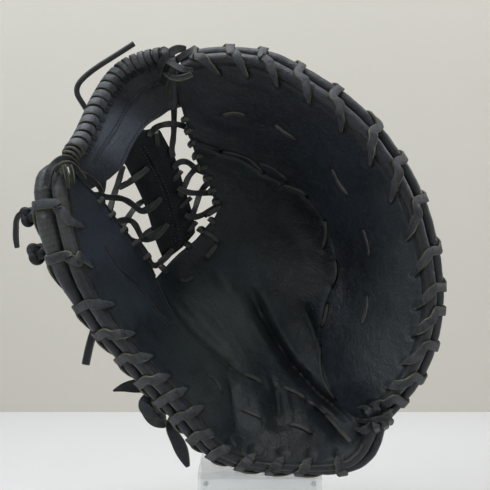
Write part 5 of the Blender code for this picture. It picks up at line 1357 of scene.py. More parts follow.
top3 = place(web_top[:, 0], web_top[:, 1], web_top[:, 2])
ends = np.minimum(np.arange(90), np.arange(90)[::-1]) / 8.0
CORE = 4.9
core_r = CORE * (0.80 + 0.20 * np.clip(ends, 0, 1)) * 0.001
o = tube("web_binding_leather", top3, core_r, 20, [ROLL])
finish_piece(o, "mat_web_binding", "web_binding")

TURNS, PER_TURN, WRAP_T = 16, 20, 1.5
m = TURNS * PER_TURN + 1
at = np.interp(np.linspace(0, 1, m), [0, 0.12, 0.60, 0.72, 1.0], [7.5, 16, 58, 66, 86])
wind = np.stack([np.interp(at, np.arange(90), top3[:, j]) for j in range(3)], 1)
along = unit(np.gradient(wind, axis=0))
side_a = unit(np.cross(along, np.array([0.0, 1.0, 0.0])))
side_b = np.cross(along, side_a)
spin = np.arange(m) * 2 * math.pi / PER_TURN
out_dir = side_a * np.cos(spin)[:, None] + side_b * np.sin(spin)[:, None]
wobble = 0.25 * np.sin(np.arange(m) * 0.131) + 0.2 * np.sin(np.arange(m) * 0.057 + 1)
wind_r = np.interp(at, np.arange(90), core_r)[:, None] + (0.15 + WRAP_T / 2 + 0.12 * wobble[:, None]) * 0.001
pitch = np.linalg.norm(np.gradient(wind, axis=0), axis=1) * PER_TURN
pitch = np.convolve(np.pad(pitch, 12, mode="edge"), np.ones(25) / 25, "valid")
laces = Laces().add(wind + out_dir * wind_r + along * (wobble * 0.0006)[:, None], along, pitch * (0.80 + 0.03 * wobble), WRAP_T * 0.001, flip=True)
o = laces.make("web_binding_wrap_lace", [WRAP, DARK_EDGE])
finish_piece(o, "mat_web_binding_wrap", "web_binding_wrap")

# Where each turn runs through the band: a short length of lace from the roll into its hole.
laces = Laces()
low_edge = inset(web_top, units(5.0, web_top[:, 2]), 1)
for n, i in enumerate(TURN_ROWS):
    i = int(i)
    u0, w0, d0 = low_edge[i][0], low_edge[i][1], web_top[i, 2] - 3.4
    u1, w1 = band_low_pits[i]
    d1 = float(band_skin(np.array([(u1, w1)]))[0])
    um, wm = (u0 * 0.45 + u1 * 0.55), (w0 * 0.45 + w1 * 0.55)
    rows = catmull(np.array([place(u0, w0, d0), place(um, wm, min((d0 + d1) / 2, float(band_skin(np.array([(um, wm)]))[0]) - 0.9)), place(u1, w1, d1 + 1.6)]), 5)
    laces.add(rows, along[min(len(along) - 1, int((i - 9) / 77 * (m - 1)))], 0.0032, 0.0011)
o = laces.make("web_binding_turn_ends", [DARK_LACE, DARK_EDGE])
finish_piece(o, "mat_web_binding_wrap")

# Net laces: u, w, what each point lies against, and a lift toward the back.
NET = [
    ("web_lace_left_a", [(104, 177, "band", 0), (102, 190, "free", 5.2), (96, 203, "thumb", 4.2)]),
    ("web_lace_left_b", [(123, 166, "band", 0), (118, 183, "free", 3.0), (113, 198, "free", 5.4), (108, 217, "thumb", 4.2)]),
    ("web_lace_left_c", [(148, 168, "post", 0), (139, 176, "post", -0.6), (130, 182, "free", -2.2), (123, 185.5, "free", -2.2), (119, 188, "free", -1.8)]),
    ("web_lace_left_d", [(88, 195, "thumb", 0), (97, 195, "free", 1.2), (106, 197, "free", 0.6), (119, 198, "free", 0.2), (133, 205, "free", -1), (142, 211, "post", 0), (153, 207, "post", 0), (161, 198, "post", 0)]),
    ("web_lace_left_e", [(148, 199, "under", 0), (140, 203, "free", 5.2), (127, 219, "free", 5.6), (118, 231, "thumb", 4.4)]),
    ("web_lace_left_f", [(111, 224, "thumb", 0), (119, 221, "free", 1.2), (131, 221, "free", 0.5), (138, 230, "free", -1.5), (144, 239, "post", 0), (157, 236, "post", 0), (168, 224, "post", 0)]),
    ("web_lace_left_g", [(157, 228, "under", 0), (151, 230, "free", 5.4), (140, 241, "free", 8.0), (131, 250, "thumb", 6.6)]),
    ("web_lace_left_h", [(126, 238, "thumb", 0.4), (138, 243.5, "free", 2.2), (147, 256, "free", 2.2), (154, 265.5, "free", 0.2), (164, 259.5, "post", -1), (173, 249, "post", 0)]),
    ("web_lace_right_a", [(149, 137, "post", 0), (154, 129, "post", -0.5), (162, 125, "free", -6), (174, 124, "free", -3.5), (186, 127, "free", 3), (192, 131, "finger", 0)]),
    ("web_lace_right_b", [(174, 101, "band", 0), (174, 120, "free", 3.5), (173, 140, "free", 1.5), (172, 151, "post", 0), (173, 157, "post", 0)]),
    ("web_lace_right_c", [(174, 168, "post", 0), (179, 162.5, "free", -3), (187, 162, "free", -2), (195, 168, "free", 6.5), (208, 174, "finger", 4.5)]),
    ("web_lace_right_d", [(204, 162, "finger", 0), (198, 167, "free", 2.2), (188, 178, "free", 1), (184, 188, "free", -2.2), (180, 196, "post", 0)]),
    ("web_lace_right_e", [(178, 188, "post", -3.2), (187, 192, "free", -5.5), (200, 193, "free", -2), (210, 193, "free", 3), (217, 194, "finger", 0)]),
    ("web_lace_right_f", [(214, 180, "finger", 0), (206, 185, "free", 3), (199, 196, "free", 3.2), (193, 213, "free", -2.8), (188, 220, "post", -0.3)]),
    ("web_lace_right_g", [(185, 215, "post", -3.4), (194, 217, "free", -5.4), (206, 213, "free", 0), (214, 208, "free", 3.4), (222, 204, "finger", 0)]),
]
NET_W, NET_T, OFF, LIFT = 4.2, 1.7, 3.1, 1.6
net_rows = [(u, w, float(front_back(np.array([(u, w)]))[0]) + 1) for u, w in THUMB_EDGE[1:]]
net_rows += [(u, w, float(post_front(np.array([(u, w)]))[0]) + 1.7) for u, w in POST_LEFT[1:] + POST_RIGHT[:-1]]
net_rows += [(u, w, float(front_back(np.array([(u, w)]))[0]) + 0) for u, w in WEB_EDGE_POCKET + WEB_EDGE_FINGER[1:3]]
NET_FIELD = Field(net_rows, 0.01)


def net_depth(u, w, what, lift):
    p = np.array([(u, w)], float)
    if what == "free":
        return float(NET_FIELD.at(p)[0]) + lift * LIFT
    if what == "post":
        return float(post_front(p)[0]) - OFF + lift * LIFT
    if what == "under":
        return float(post_back(p)[0]) + OFF + lift * LIFT
    if what == "band":
        return float(band_back(p)[0]) + OFF + lift * LIFT
    return float(front_back(p)[0]) + OFF + lift * LIFT


def net_path(points, step):
    rows = [(u, w, net_depth(u, w, what, lift)) for u, w, what, lift in points]
    n = max(3, int(np.linalg.norm(np.diff(np.array(rows)[:, :2], axis=0), axis=1).sum() / step))
    r = spline(rows, n)
    return place(r[:, 0], r[:, 1], r[:, 2])




for name, points in NET:
    path = net_path(points, 1.6)
    t = unit(np.gradient(path, axis=0))
    n = len(path)
    wide = (NET_W + 0.3) * 0.001 * (1 + 0.06 * np.sin(np.arange(n) * 0.7 + len(name)))
    roll_by = 0.18 * np.sin(np.arange(n) * 0.45 + points[0][0])
    a = np.cross(t, np.array([0.0, 1.0, 0.0]))
    b = np.cross(t, a)
    a = a * np.cos(roll_by)[:, None] + b * np.sin(roll_by)[:, None]
    o = Laces().add(path, a, wide, 0.0017).make(name + "_cut", [DARK_LACE, DARK_EDGE])
    finish_piece(o, "mat_" + name, name)

# Small loops of the net laces over the edges of the post and through the leather around it.
EYES = [
    # u, w from, u, w to, on what
    (145, 170, 129, 181, "post"), (161, 199, 140, 212, "post"), (167.6, 224, 144, 240, "post"), (173.4, 249, 159, 262, "post"),
    (181.7, 171, 173, 181, "post"), (191, 197.5, 179, 209, "post"), (196.6, 222, 187.5, 232, "post"), (156, 131, 158, 147, "post"),
]
EDGE_LOOPS = [
    # u, w inside the leather, u, w past its edge, on the finger or thumb side
    (190, 118, 182, 121), (193, 129, 185.5, 133), (197, 141, 189, 146), (203, 155, 193, 158), (209, 166, 199, 169),
    (214, 177, 204, 180), (218, 189, 209, 192), (221, 201, 213, 203), (216, 224, 209, 219), (205, 234, 198, 229), (192, 249, 184, 243),
    (97, 204, 103, 198), (108, 218, 114, 212), (120, 233, 126, 227), (131, 246, 138, 241), (143, 259, 150, 255), (166, 273, 160, 266),
]
laces = Laces()
for n, (u0, w0, u1, w1) in enumerate(EDGE_LOOPS):
    c = np.array([u0, w0], float)
    e = np.array([u1, w1], float)
    turn = np.array([-(e - c)[1], (e - c)[0]]) * (0.35 if n % 2 else 0.2)
    at3 = [c, c * 0.75 + e * 0.25, c * 0.35 + e * 0.65, e * 1.02 - c * 0.02, c * 0.35 + e * 0.65 + turn, c * 0.8 + e * 0.2 + turn]
    d = front(np.array(at3))
    far = front_back(np.array(at3))
    depth = [d[0] + 1.4, d[1] - 1.1, d[2] - 1.2, (d[3] + far[3]) / 2, far[4] + 1.4, far[5] + 1.4]
    rows = catmull(np.array([place(q[0], q[1], z) for q, z in zip(at3, depth)]), 5)
    t = unit(np.gradient(rows, axis=0))
    side = np.array([-(e - c)[1], 0.0, -(e - c)[0]])
    laces.add(rows, unit(side), 0.0036, 0.0014)
o = laces.make("web_edge_whip_loops", [DARK_LACE, DARK_EDGE])
finish_piece(o, "mat_web_post")

laces = Laces()
for u0, w0, u1, w1, what in EYES:
    d = post_skin(np.array([(u0, w0), ((u0 + u1) / 2, (w0 + w1) / 2), (u1, w1)]))
    rows = catmull(np.array([place(u0, w0, d[0] + 1.0), place(u0 * 0.8 + u1 * 0.2, w0 * 0.8 + w1 * 0.2, d[0] - 1.3), place((u0 + u1) / 2, (w0 + w1) / 2, d[1] - 1.7), place(u0 * 0.15 + u1 * 0.85, w0 * 0.15 + w1 * 0.85, d[2] - 1.2), place(u1, w1, d[2] + 1.2)]), 5)
    t = unit(np.gradient(rows, axis=0))
    laces.add(rows, np.cross(t, np.array([0.0, 1.0, 0.0])), 0.0036, 0.0013)
o = laces.make("web_post_edge_loops", [DARK_LACE, DARK_EDGE])
finish_piece(o, "mat_web_post")

# ---------------------------------------------------------------- laces through the panels
finger_rows, palm_rows = Laces(), Laces()
for name, pts, wide in PANEL_LACES:
    r = spline(pts, 26)[:, :2]
    d = skin(r)
    n = len(r)
    s = np.linspace(0, 1, n)
    sink = 2.6 * np.exp(-((np.minimum(s, 1 - s) / 0.055) ** 2))
    smooth = np.convolve(np.pad(d, 3, mode="edge"), np.ones(7) / 7, "valid")
    d = np.minimum(smooth, d) - 0.62 + sink
    path = place(r[:, 0], r[:, 1], d)
    t = unit(np.gradient(path, axis=0))
    _, nrm = on_surface(pts, lambda q: SKIN_FIELD.at(q), -1, 0, n)
    w = wide * 0.001 * (1 - 0.25 * np.exp(-((np.minimum(s, 1 - s) / 0.10) ** 2)))
    (finger_rows if name.startswith("finger") else palm_rows).add(path, np.cross(t, nrm), w, 0.0013)
finish_piece(finger_rows.make("finger_panel_lacing", [LACING, EDGE]), "mat_finger_rim_lace")
finish_piece(palm_rows.make("palm_panel_lacing", [DARK_LACE, DARK_EDGE]), "mat_heel_rim_lace")

# Thread along the thumb's turned seam and the pocket's edge.
rows = [on_surface(inset(STEP_LINES[0][0], 2.6, 1), skin, -1, 0.08), on_surface(inset(STEP_LINES[1][0], 2.4, 1), skin, -1, 0.08)]
stitches("thumb_seam_stitching", "palm_panel", rows, 2.4, radius=0.26)
o = tube("thumb_seam_edge", on_surface(STEP_LINES[0][0], skin, -1, 0.25)[0], 0.00075, 8, [WORN_EDGE])
finish_piece(o, "mat_palm_panel")
o = tube("pocket_seam_edge", on_surface(STEP_LINES[1][0], skin, -1, 0.20)[0], 0.00080, 8, [WORN_EDGE])
finish_piece(o, "mat_palm_panel")

# ---------------------------------------------------------------- rim laces
LACE_T = 1.6


def rim_at(rim, i):
    """Front roll and back roll at a fractional row: centre, radius, tangent, outward and forward directions."""
    k = np.arange(len(rim))
    row, lo, hi = (
        np.array([np.interp(np.clip(j, 0, len(rim) - 1), k, rim[:, c]) for c in range(rim.shape[1])])
        for j in (i, i - 1.5, i + 1.5)
    )
    spread = row[2:4] - row[0:2]
    both = []
    for u, w, d, r in ((0, 1, 4, 5), (2, 3, 7, 6)):
        t = unit(place(hi[u], hi[w], hi[d]) - place(lo[u], lo[w], lo[d]))
        fwd = np.array([0.0, -1.0, 0.0])
        fwd = unit(fwd - fwd.dot(t) * t)
        out = np.cross(fwd, t)
        if out[0] * spread[0] - out[2] * spread[1] < 0:
            out = -out
        both.append((place(row[u], row[w], row[d]), row[r] * 0.001, t, out, fwd))
    return both


def nearest_row(line, u, w):
    return float(np.argmin(np.hypot(line[:, 0] - u, line[:, 1] - w)))


def shell_depth(u, w, faces):
    return float(faces(np.array([(u, w)]))[0])


def unplace(p):
    depth = (p[1] - SHIFT_Y) * 1000
    k = UNIT * (1 + depth / TAPER)
    return (p[0] - SHIFT_X) / k + MID_U, MID_W - (p[2] - MID_Z) / k, depth


def clear_depth(u, w, t, half, depth_of, pick):
    """Depth of a surface under the middle and both edges of a lace, the highest of them."""
    e = np.array([t[0], -t[2]]) * half / (UNIT * 1000)
    return pick(depth_of(u + s * e[0], w + s * e[1]) for s in (-1, 0, 1))


BACK_OFF = 3.6
LACE_GAP = 0.30


def straight_row(rim, phi, hole, top, i_h, i_t):
    """The row where a turn at this angle lies on the straight line from the hole to the top of the lace."""
    a, b = np.array(hole, float), np.array(top, float)
    n = np.array([-(b - a)[1], (b - a)[0]]) / np.linalg.norm(b - a)
    lo, hi = min(i_h, i_t) - 7, max(i_h, i_t) + 7
    best = None
    for i in np.linspace(lo, hi, 36):
        points = []
        for c, r, t, out, fwd in rim_at(rim, i):
            d = math.cos(phi) * out + math.sin(phi) * fwd
            points.append((c.dot(d) + r, c + (r + 0.001) * d))
        u, w, _ = unplace(max(points, key=lambda q: q[0])[1])
        off = abs(n.dot(np.array([u, w]) - a))
        if best is None or off < best[0]:
            best = (off, i)
    return best[1]


def whip(rim, holes, back_of, wide):
    """The path, width direction and widths of one lace that whips over both rolls and through every hole."""
    path = []
    f_line, b_line = rim[:, 0:2], rim[:, 2:4]
    k = len(holes)
    k_row = np.arange(len(rim))
    front_of = lambda u, w: float(skin(np.array([(u, w)]))[0])
    for n, (hu, hw, tu, tw) in enumerate(holes):
        i_h = nearest_row(f_line, hu, hw)
        i_t = nearest_row(b_line, tu, tw)
        nu, nw = holes[n - 1][:2] if n else (hu, hw)
        i_n = nearest_row(f_line, nu, nw) if n else i_t
        seg = []
        t_h = rim_at(rim, i_h)[0][2]
        top = clear_depth(hu, hw, t_h, 1.5, front_of, min) - 1.3
        seg.append((place(hu, hw, back_of(hu, hw) - 0.5), t_h, 2.6))
        seg.append((place(hu, hw, front_of(hu, hw) + 1.5), t_h, 2.6))
        seg.append((place(hu, hw, top), t_h, 3.0))
        turn = np.radians([152, 126, 100, 72, 44, 16, -12, -40, -64, -88])
        mid = 4.5
        was, last = None, None
        for q, phi in enumerate(turn):
            if q <= 5:
                i = straight_row(rim, phi, (hu, hw), (tu, tw), i_h, i_t)
                i_top = i
            else:
                i = i_top + (i_n - i_top) * (q - 5) / (len(turn) - 5) * 0.8
            rolls = rim_at(rim, i)

            def reach(angle):
                f, rf, _, out, fwd = rolls[0]
                d = math.cos(angle) * out + math.sin(angle) * fwd
                return f.dot(d) + rf > rolls[1][0].dot(d) + rolls[1][1]

            on_f = reach(phi)
            turns = [(phi, on_f)]
            if last is not None and on_f != was:
                a0, a1 = last, phi
                for _ in range(12):
                    am = (a0 + a1) / 2
                    if reach(am) == was:
                        a0 = am
                    else:
                        a1 = am
                turns = [(am, was), (am, on_f)] + ([(phi, on_f)] if abs(am - phi) > 0.12 else [])
            was, last = on_f, phi
            for angle, front_one in turns:
                c, r, t, out, fwd = rolls[0 if front_one else 1]
                d = math.cos(angle) * out + math.sin(angle) * fwd
                if not seg[3:]:
                    # The run from the hole up to the front roll stays clear of the panel.
                    first = unplace(c + (r + (LACE_GAP + LACE_T / 2) * 0.001) * d)
                    for share in (0.35, 0.7):
                        u, w, dep = (x + (y - x) * share for x, y in zip((hu, hw, top), first))
                        half = (3.0 + (wide - 3.0) * share) / 2
                        seg.append((place(u, w, min(dep, clear_depth(u, w, t, half, front_of, min) - 1.0)), t, 2 * half))
                extra = 0.5 * max(0.0, min(1.0, -1.4 * math.sin(angle)))
                seg.append((c + (r + (LACE_GAP + extra + LACE_T / 2) * 0.001) * d, t, wide))
        bu, bw = np.interp(i, k_row, b_line[:, 0]), np.interp(i, k_row, b_line[:, 1])
        d0 = np.interp(i, k_row, rim[:, 7]) + np.interp(i, k_row, rim[:, 6]) + 3.0
        d1 = clear_depth(nu, nw, t, 1.6, back_of, max) + BACK_OFF - 0.6
        for share in (0.4, 0.6, 0.8) if n else ():
            qu, qw = bu + (nu - bu) * share, bw + (nw - bw) * share
            half = wide * (1.0 - 0.45 * share) / 2
            depth = d0 + (d1 - d0) * share
            if share > 0.5 or inside([(qu, qw)], finger_back_loop)[0] or inside([(qu, qw)], thumb_back_loop)[0]:
                depth = max(depth, clear_depth(qu, qw, t, half, back_of, max) + BACK_OFF - 1.6)
            seg.append((place(qu, qw, depth), t, 2 * half))
        path.append(seg)
    out_p, out_a, out_w = [], [], []
    for n in range(k - 1, -1, -1):
        for p, a, w in path[n]:
            out_p.append(p), out_a.append(a), out_w.append(w)
        if n:
            nu, nw = holes[n - 1][:2]
            t = path[n - 1][0][1]
            nb = clear_depth(nu, nw, t, 1.6, back_of, max)
            out_p.append(place(nu, nw, nb + BACK_OFF - 1.2)), out_a.append(t), out_w.append(3.2)
    return np.array(out_p), np.array(out_a), np.array(out_w) * 0.001


def finger_back_depth(u, w):
    if inside([(u, w)], finger_back_loop)[0]:
        return shell_depth(u, w, fb)
    return float(front_back(np.array([(u, w)]))[0])


def heel_back_depth(u, w):
    if inside([(u, w)], thumb_back_loop)[0]:
        return shell_depth(u, w, tb)
    return float(front_back(np.array([(u, w)]))[0])


for name, rim, holes, back_of, wide in (
    ("finger_rim_lace", FINGER, FINGER_HOLES, finger_back_depth, 6.3),
    ("heel_rim_lace", HEEL, HEEL_HOLES, heel_back_depth, 6.5),
):
    p, a, w = whip(rim, holes, back_of, wide)
    dense = catmull(np.column_stack([p, a, w]), 5)
    n = len(dense)
    o = Laces().add(dense[:, :3], dense[:, 3:6], dense[:, 6] * (1 + 0.03 * np.sin(np.arange(n) * 0.31)), LACE_T * 0.001).make(name + "_cut", [LACING, EDGE])
    finish_piece(o, "mat_" + name, name)

# ---------------------------------------------------------------- wrist strap
STRAP = [
    # u    w   depth  width mm  lean (how far the band leans along the rim)
    (391, 383, -12, 20, -0.65), (380, 387, 12, 26, -0.45), (360, 391, 36, 32, -0.2), (325, 394, 58, 36, 0.0),
    (285, 395, 66, 37, 0.0), (245, 396, 63, 37, 0.0), (215, 397, 44, 34, 0.1), (196, 398, 16, 27, 0.4), (188, 398, -12, 20, 0.65),
]

r = spline(STRAP, 110)
r[:, 2] = np.maximum(r[:, 2], front_back(r) + 5.0)
lean = np.stack([r[:, 4], np.zeros(len(r)), -np.ones(len(r))], 1)
p = place(r[:, 0], r[:, 1], r[:, 2])
t = unit(np.gradient(p, axis=0))
lean = unit(lean - (lean * t).sum(1, keepdims=True) * t)
up = np.cross(t, lean)
if up[len(up) // 2][1] < 0:
    up = -up
verts, faces, index = [], [], []
ACROSS = 15
ring = []
for j in range(ACROSS):
    s = -1 + 2 * j / (ACROSS - 1)
    crown = 0.4 * (1 - s**4) + 0.25 * np.sin(np.arange(len(p)) * 0.21 + s * 2)
    ring.append(p + lean * (r[:, 3] * 0.0005 * s)[:, None] + up * ((0.9 + crown) * 0.001)[:, None])
for j in range(ACROSS):
    s = 1 - 2 * j / (ACROSS - 1)
    ring.append(p + lean * (r[:, 3] * 0.0005 * s)[:, None] - up * 0.0013)
verts = np.stack(ring, 1).reshape(-1, 3)
k = len(ring)
for i in range(len(p) - 1):
    for j in range(k):
        q = (j + 1) % k
        faces.append((i * k + j, i * k + q, i * k + k + q, i * k + k + j))
        index.append(1 if j in (ACROSS - 1, k - 1) else 0)
faces += [tuple(range(k))[::-1], tuple((len(p) - 1) * k + j for j in range(k))]
index += [1, 1]
o = build("wrist_strap_leather", verts, faces, [SHELL, CUT], index, 40)
finish_piece(o, "mat_wrist_strap", "wrist_strap")
rows = []
for s in (-0.86, 0.86):
    rows.append((p + lean * (r[:, 3] * 0.0005 * s)[:, None] + up * 0.00125, up))
stitches("wrist_strap_stitching", "wrist_strap", rows)


# ---------------------------------------------------------------- ties, knots and ends
def end_lace(name, rows, thick=1.7, mats=None, edge=None, turn=(0.0, 1.0, 0.0), node=None):
    r = spline(rows, 40)
    path = place(r[:, 0], r[:, 1], r[:, 2])
    t = unit(np.gradient(path, axis=0))
    o = Laces().add(path, np.cross(t, np.array(turn)), np.maximum(r[:, 3], 0.9) * 0.001, thick * 0.001).make(name + "_cut", mats or [LACING, EDGE])
    return finish_piece(o, "mat_" + name, name)


def soft_knot(name, u, w, depth, size, thick, tall):
    """A pulled-tight overhand knot in flat lace."""
    a = np.linspace(0, 2 * math.pi, 161)[:-1]
    x = np.sin(a) + 2 * np.sin(2 * a)
    y = np.cos(a) - 2 * np.cos(2 * a)
    z = -1.6 * np.sin(3 * a)
    pts = np.stack([x, z, y * tall], 1) / 3.0 * size * 0.001 + place(u, w, depth)
    flat = lambda ang: 1.12 - 0.22 * math.cos(2 * ang)
    o = tube(name + "_tied", pts, thick * 0.00054, 14, [LACING], closed=True, flat=flat)
    return finish_piece(o, "mat_" + name, name)


mt = 4 * 24
at2 = np.linspace(1.2, 7.6, mt)
c2 = np.stack([np.interp(at2, np.arange(90), top3[:, j]) for j in range(3)], 1)
al2 = unit(np.gradient(c2, axis=0))
sa2 = unit(np.cross(al2, np.array([0.0, 1.0, 0.0])))
sb2 = np.cross(al2, sa2)
sp2 = np.linspace(0, 30 * 2 * math.pi / 12, mt) + 0.5
r2 = np.interp(at2, np.arange(90), core_r)[:, None] + 1.3 * 0.001
o = Laces().add(c2 + (sa2 * np.cos(sp2)[:, None] + sb2 * np.sin(sp2)[:, None]) * r2, al2, 0.0022, 0.0018, flip=True).make("thumb_tip_tie_cut", [LACING, EDGE])
finish_piece(o, "mat_thumb_tip_tie", "thumb_tip_tie")

end_lace("finger_corner_tie_upper", [(158, 76, 13, 4.5), (161, 66, 1, 5.5), (168, 55, -4, 6.2), (177, 49, -3, 6.0), (186, 49, 0, 4.5)])
end_lace("finger_corner_tie_lower", [(165, 72, 6, 4), (172, 77, -4, 4.6), (181, 78, -12, 4.6), (192, 74, -15, 4.2)])
end_lace("heel_corner_tie_a", [(360, 408, -12, 4.0), (363, 408, -25, 4.6), (373, 417, -36.5, 5.5), (380, 424, -36, 5.5), (386, 428, -29, 4.6), (386, 429, -16, 4.0)], mats=[LACING, DARK_EDGE])
end_lace("heel_corner_tie_b", [(388, 409, -16, 4.0), (391, 411, -29, 4.8), (381, 420, -40, 5.5), (370, 427, -40.5, 5.5), (359, 431, -30, 4.8), (356, 428, -12, 4.0)], mats=[LACING, DARK_EDGE])
CORNER = [
    [(380, 402, -12, 4), (379, 404, -30, 5), (376, 412, -39, 5.5), (376, 422, -40, 5.5), (377, 430, -36, 4.6), (378, 432, -20, 4)],
    [(356, 420, -6, 3.5), (362, 421, -17, 4), (371, 421, -38.5, 4.6), (383, 419, -42, 4.6), (391, 422, -34, 4.4), (389, 425, -20, 4)],
]
laces = Laces()
for rows in CORNER:
    r = spline(rows, 40)
    path = place(r[:, 0], r[:, 1], r[:, 2])
    t = unit(np.gradient(path, axis=0))
    laces.add(path, np.cross(t, np.array([0.0, 1.0, 0.0])), r[:, 3] * 0.001, 0.0015)
finish_piece(laces.make("heel_corner_turns", [LACING, DARK_EDGE]), "mat_heel_corner_tie_a")
TIP = [
    [(47, 186, -58, 4.2), (49, 172, -60, 4.6), (56, 162, -56, 4.6), (66, 158, -54, 4.6), (75, 164, -46, 4.2), (78, 172, -38, 4.0)],
    [(56, 172, -54, 3.4), (62, 165, -58, 4.0), (70, 164, -55, 4.2), (77, 170, -46, 4.0), (84, 178, -32, 3.6)],
    [(64, 165, -58, 3.0), (66, 172, -59, 3.2), (67.5, 180, -58, 3.2), (68, 188, -56, 3.0)],
    [(70, 165, -57, 2.8), (72, 173, -57, 3.0), (73, 184, -54, 2.8)],
    [(78, 172, -36, 4.0), (88, 177, -26, 4.4), (97, 184, -14, 4.0), (102, 192, -8, 3.4)],
]
laces = Laces()
for rows in TIP:
    r = spline(rows, 40)
    path = place(r[:, 0], r[:, 1], r[:, 2])
    t = unit(np.gradient(path, axis=0))
    laces.add(path, np.cross(t, np.array([0.0, 1.0, 0.0])), r[:, 3] * 0.001, 0.0016)
finish_piece(laces.make("thumb_tip_turns", [LACING, EDGE]), "mat_thumb_tip_tie")
TOP = [
    [(164, 84, 20, 4.0), (166, 74, 8, 4.6), (172, 64, 0, 5.2), (183, 56, -6, 5.2), (192, 50, -4, 4.4), (196, 47, 4, 4)],
    [(160, 60, 4, 4.0), (167, 61, -3, 4.6), (176, 66, -9, 4.8), (186, 70, -12, 4.4), (193, 70, -10, 4.0)],
    [(170, 52, 4, 4.0), (172, 57, -3, 4.6), (173, 68, -5, 4.8), (171, 80, 2, 4.6), (168, 92, 14, 4.2), (168, 101, 24, 4.0)],
    [(160, 52, 8, 5.0), (163, 50, 0, 5.4), (166, 60, -3, 5.6), (164, 70, 6, 5.0)],
]
laces = Laces()
for rows in TOP:
    r = spline(rows, 40)
    path = place(r[:, 0], r[:, 1], r[:, 2])
    t = unit(np.gradient(path, axis=0))
    laces.add(path, np.cross(t, np.array([0.0, 1.0, 0.0])), r[:, 3] * 0.001, 0.0016)
finish_piece(laces.make("finger_corner_turns", [DARK_LACE, DARK_EDGE]), "mat_finger_corner_tie_upper")
soft_knot("thumb_knot_upper", 28, 216, -41, 3.5, 4.2, 1.35)
soft_knot("thumb_knot_lower", 37, 253, -41, 4.5, 4.6, 1.15)
soft_knot("strap_knot", 153.5, 411, -22, 3.4, 5.2, 1.2)
laces = Laces()
for rows in ([(160, 397, -17, 7), (150, 398, -23, 8.5), (144.5, 405, -26, 9), (150, 412, -28, 8.5), (160, 411, -26, 7)], [(144, 405, -22, 8), (149, 414, -25, 9), (157, 422, -25, 8), (166, 424, -20, 6)], [(150, 396, -20, 5), (156, 404, -28, 6), (161, 413, -27, 6), (163, 424, -20, 5)]):
    r = spline(rows, 40)
    path = place(r[:, 0], r[:, 1], r[:, 2])
    t = unit(np.gradient(path, axis=0))
    laces.add(path, np.cross(t, np.array([0.25, 1.0, 0.0])), r[:, 3] * 0.001, 0.0019)
finish_piece(laces.make("strap_knot_folds", [SHELL, EDGE]), "mat_strap_knot")
end_lace("thumb_lace_end", [(27, 214, -41, 3.4), (21, 213.5, -42, 3.6), (16.8, 219, -42, 3.8), (15.8, 228, -42, 4.0), (15.8, 238, -42, 4.0), (17.2, 248, -42, 3.4)])
end_lace("thumb_back_lace_end", [(97, 322, -30, 5.5), (90, 344, -31, 5.6), (85.5, 365, -33, 5.6)])
end_lace("strap_tab", [(147, 385, -21, 9.5), (137, 386, -23, 9.5), (126, 387, -26, 7.0), (113, 391, -29, 1.2)], thick=2.2, mats=[SHELL, CUT])
end_lace("strap_lace_end", [(174, 417, -17, 6.5), (170.5, 425, -19, 6.5), (176, 439, -22, 8.8), (182.5, 453, -24, 8.8), (188, 467, -25, 3.0)])

# The one long free end, over the web: a narrow lace that has curled round.
END = [(86, 109, 5), (81, 101, 4), (77, 93, 3), (77.5, 86, 3), (81.5, 80, 3.5), (91, 71.5, 5), (112, 57.5, 8), (134, 43.5, 10)]

r = spline(END, 60)
path = place(r[:, 0], r[:, 1], r[:, 2])
o = tube("top_lace_end_curled", path, 0.0020, 14, [OLIVE], groove=(0.6, 0.34))
finish_piece(o, "mat_top_lace_end", "top_lace_end")


# ---------------------------------------------------------------- clear stand
def acrylic(name, clear=0.6, alpha=0.42):
    m, nt, b = shader(name)
    at = add(nt, "TexCoord").outputs["Object"]
    haze = noise(nt, at, 30, 3)
    scratch = noise(nt, at, 900, 2, 0.5, 2.0)
    nt.links.new(mix(nt, haze, (0.90, 0.94, 0.93), (0.97, 0.985, 0.98)), b.inputs["Base Color"])
    r = add(nt, "MapRange")
    r.inputs["To Min"].default_value, r.inputs["To Max"].default_value = 0.02, 0.09
    nt.links.new(scratch, r.inputs["Value"])
    nt.links.new(r.outputs["Result"], b.inputs["Roughness"])
    nt.links.new(bump(nt, haze, 0.0003, 0.12), b.inputs["Normal"])
    b.inputs["Transmission Weight"].default_value = clear
    b.inputs["Alpha"].default_value = alpha
    b.inputs["IOR"].default_value = 1.45
    return m


def steel():
    m, nt, b = shader("turned_steel")
    at = add(nt, "TexCoord").outputs["Object"]
    n = noise(nt, at, 600, 3)
    nt.links.new(mix(nt, n, (0.42, 0.43, 0.44), (0.66, 0.66, 0.66)), b.inputs["Base Color"])
    nt.links.new(ramp(nt, n, [(0.2, 0.22), (0.8, 0.38)]), b.inputs["Roughness"])
    b.inputs["Metallic"].default_value = 1.0
    return m


# The foot's acrylic is less clear and more opaque than the riser's, so that its white stands for the bright glare on
# the plate: a painted reflection.
CLEAR, PAINTED_GLARE, METAL = acrylic("clear_acrylic"), acrylic("acrylic_painted_glare", 0.15, 0.8), steel()
for name in ("stand_foot", "stand_riser", "stand_upright"):
    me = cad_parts[name].data
    for k in range(max(1, len(me.materials))):
        if len(me.materials):
            me.materials[k] = PAINTED_GLARE if name == "stand_foot" else CLEAR
        else:
            me.materials.append(PAINTED_GLARE if name == "stand_foot" else CLEAR)
for name in ("stand_screw_left", "stand_screw_right"):
    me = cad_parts[name].data
    for k in range(max(1, len(me.materials))):
        if len(me.materials):
            me.materials[k] = METAL
        else:
            me.materials.append(METAL)


